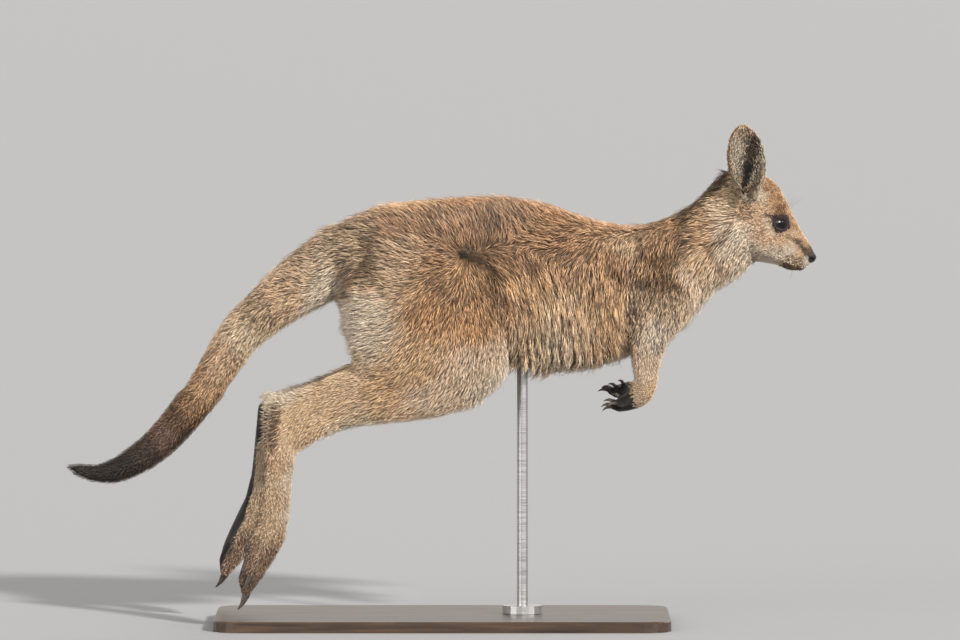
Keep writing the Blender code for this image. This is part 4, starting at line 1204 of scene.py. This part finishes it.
# low on the flank the long hair hangs in pointed locks, with painted shade between them
lock = belly["apart"]
(sway, swayLong, swayHigh), (wobble, wobbleLong, wobbleHigh) = belly["sway"], belly["wobble"]
lockPlace = root[:, 0] + belly["slant"] * (root[:, 2] - belly["full"])
lockPlace += sway * np.sin(root[:, 0] / swayLong + root[:, 2] / swayHigh + sideOf)
lockPlace = (lockPlace + wobble * np.sin(root[:, 0] / wobbleLong + root[:, 2] / wobbleHigh)) / lock
offLock = lockPlace - np.round(lockPlace)
lockDepth = 0.62 + 0.38 * np.sin(5.3 * np.round(lockPlace - 0.5))
hanging = smoothStep(belly["top"], belly["full"], root[:, 2]) * smoothStep(17, 23, length) * (kind == 0)
tip[:, 0] -= offLock * lock * hanging * belly["gather"]
middle[:, 0] -= offLock * lock * hanging * belly["gather"] * 0.6
tip[:, 2] += hanging * np.abs(offLock) * belly["ragged"]
shadeBetweenLocks = hanging * lockDepth * smoothStep(0.2, 0.45, np.abs(offLock))
width = (setting("width") * (0.8 + 0.4 * chance.random(count)))[:, None]
across = unit(np.cross(way, tip - base))
over = unit(np.cross(tip - base, across))

# pale strands are held back more than dark ones, so that their colour stays
tone = np.exp(np.clip(clumpShade + spread(count) * strands["shade"], -1.8, 0.42))
# painted shade on the hair between the belly's locks
tone = ((1 + 0.15 * hanging - belly["dark"] * shadeBetweenLocks) * tone)[:, None]
kindOfHair = chance.random(count)[:, None]
paleness = smoothStep(0.3, 0.62, shade.mean(1, keepdims=True))
darkTip, paleTip = (share - change * paleness for share, change in (hairs["darkTips"], hairs["paleTips"]))
darkTip, paleTip = kindOfHair < darkTip, kindOfHair > paleTip


def held(values, most=0.8):
    return values / np.maximum(values.max(1, keepdims=True) / most, 1)


# some hairs take the colour of their strand's head, so that marks break up at their edges; each
# hair is dark at the root and paler in the middle, and its tip is dark, pale or plain
fromClump = chance.random(count) < 0.6
shade[fromClump] = shade[clump[fromClump]]
level = shade.mean(1, keepdims=True)
bleached = shade * 1.35 + level * hairs["bleached"]
lighter = shade * 1.06 + level * (hairs["lighter"] + paleness * hairs["inPaleCoat"])
# dark roots: dark underfur and painted shade between the hairs
rootShade = shade * tone * hairs["root"]
warmed = shade * hairs["warmed"]
middleShade = held(tone * np.where(darkTip, warmed * 0.85, lighter * 0.98))
tipShade = held(tone * np.where(darkTip, warmed * 0.27, np.where(paleTip, bleached * 1.15, lighter * 1.12)))


def unrolled(group, where):
    # place round and along the part's own line, both from 0 to 1
    start, end = (np.array(p, float) for p in unwrapAxes[group])
    line = end - start
    spots = mirrored(where) if group not in ("trunk", "tail", "head") else where
    off = spots - start
    long = off @ line / (line @ line)
    off -= long[:, None] * line
    flat = np.cross(line, (0, 1, 0))
    turned = np.arctan2(off[:, 1], off @ (flat / np.linalg.norm(flat))) / (2 * math.pi) + 0.5
    long = (long - long.min()) / max(np.ptp(long), 1e-6)
    return np.column_stack([turned, long]) * 0.99 + 0.005


def coatPiece(name, chosen, group, material):
    n = len(chosen)
    a, b, half = across[chosen], over[chosen], width[chosen] / 2
    ring = (-a * 0.9, a * 0.9, b * 0.75)
    spots = np.empty((n, 7, 3))
    for i in range(3):
        spots[:, i] = base[chosen] + ring[i] * half
        spots[:, 3 + i] = middle[chosen] + ring[i] * half * 0.85
    spots[:, 6] = tip[chosen]
    faces = np.array([(2, 1, 0), (0, 1, 4), (0, 4, 3), (1, 2, 5), (1, 5, 4), (2, 0, 3), (2, 3, 5),
                      (3, 4, 6), (4, 5, 6), (5, 3, 6)])
    corners = (faces[None] + 7 * np.arange(n)[:, None, None]).ravel()
    mesh = bpy.data.meshes.new(name)
    mesh.vertices.add(7 * n)
    mesh.vertices.foreach_set("co", (spots * mm).ravel())
    mesh.loops.add(len(corners))
    mesh.loops.foreach_set("vertex_index", corners.astype(np.int32))
    mesh.polygons.add(len(corners) // 3)
    mesh.polygons.foreach_set("loop_start", np.arange(0, len(corners), 3, dtype=np.int32))
    mesh.update(calc_edges=True)
    mesh.shade_smooth()
    shades = np.repeat(rootShade[chosen][:, None], 7, 1)
    shades[:, 3:6] = middleShade[chosen][:, None]
    shades[:, 6] = tipShade[chosen]
    storeColour(mesh, shades.reshape(-1, 3))
    patch = np.array([(0, 0), (0.5, 0), (1, 0), (0, 0.5), (0.5, 0.5), (1, 0.5), (0.5, 1)]) - 0.5
    flat = unrolled(group, root[chosen])[:, None] + patch[None] * pieces["uvPatch"]
    layer = mesh.uv_layers.new(name="OFBake")
    layer.uv.foreach_set("vector", flat.reshape(-1, 2)[corners].astype(np.float32).ravel())
    piece = meshObject(name, mesh, material)
    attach(piece, "root")
    return 10 * n


fur = furMaterial()
total = 0
for i, group in enumerate(groups):
    for sign, word in ((-1, "right"), (1, "left")):
        mine = np.flatnonzero((kind == i) & (sideOf == sign))
        if not len(mine):
            continue
        mine = mine[np.argsort(root[mine, 0])]
        for j, chosen in enumerate(np.array_split(mine, -(-len(mine) // pieces["mostTufts"]))):
            total += coatPiece(f"coat_{group}_{word}_{j + 1}", chosen, group, fur)
print("coat grown,", total, "triangles")

whiskers = {
    # from, to, how far it bows up, all on both sides of the face
    "brow front": ((380, 17, 457), (398, 25, 470), 2.0),
    "brow middle": ((378, 18.5, 458), (391, 30, 473), 2.0),
    "brow back": ((375, 20.5, 459), (383, 34, 474), 1.5),
    "cheek": ((352, 28, 428), (348, 48, 420), 1.0),
    "lip upper": ((394, 12, 409), (396, 34, 411), -1.5),
    "lip front": ((398, 10.5, 406), (405, 30, 404), -1.5),
    "lip middle": ((391, 13.5, 406.5), (387, 36, 402), -1.5),
    "lip low": ((388, 14.5, 403.5), (379, 35, 395), -1.5),
    "chin": ((385, 8, 391), (382, 17, 379), 0.5),
}
whiskerThick = 0.24


def makeWhiskers():
    bm = bmesh.new()
    for start, end, bow in whiskers.values():
        for sign in (-1, 1):
            a, b = (Vector(p) * mm for p in (start, end))
            a.y, b.y = a.y * sign, b.y * sign
            aim = (b - a).normalized()
            one = aim.cross(Vector((0.3, 0.2, 1))).normalized()
            two = aim.cross(one)
            rings = []
            for i in range(9):
                share = i / 9
                centre = a.lerp(b, share) + Vector((0, 0, bow * mm * math.sin(math.pi * share)))
                thick = whiskerThick / 2 * mm * (1 - share ** 1.5 * 0.85)
                rings.append([bm.verts.new(centre + (one * math.cos(t) + two * math.sin(t)) * thick)
                              for t in (0, 2.094, 4.189)])
            point = bm.verts.new(b)
            for low, high in zip(rings, rings[1:]):
                for i in range(3):
                    bm.faces.new((low[i], low[(i + 1) % 3], high[(i + 1) % 3], high[i]))
            for i in range(3):
                bm.faces.new((rings[-1][i], rings[-1][(i + 1) % 3], point))
            bm.faces.new(rings[0][::-1])
    bmesh.ops.recalc_face_normals(bm, faces=bm.faces)
    mesh = meshFrom(bm, "whiskers")
    mesh.shade_smooth()
    piece = meshObject("whiskers", mesh, whiskerMaterial())
    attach(piece, "root")


makeWhiskers()

# materials of the nodes that stay, by the start of their names
nodeMaterials = {"claw_": clawMaterial(), "stand_": steelMaterial(), "stand_base": boardMaterial(),
                 "eye_right": eyeMaterial("Right"), "eye_left": eyeMaterial("Left")}
for start, material in nodeMaterials.items():
    for name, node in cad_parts.items():
        if name.startswith(start):
            for slot in node.material_slots:
                slot.material = material

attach(skinPiece, "root")
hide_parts(*fleshNodes)
print("done")
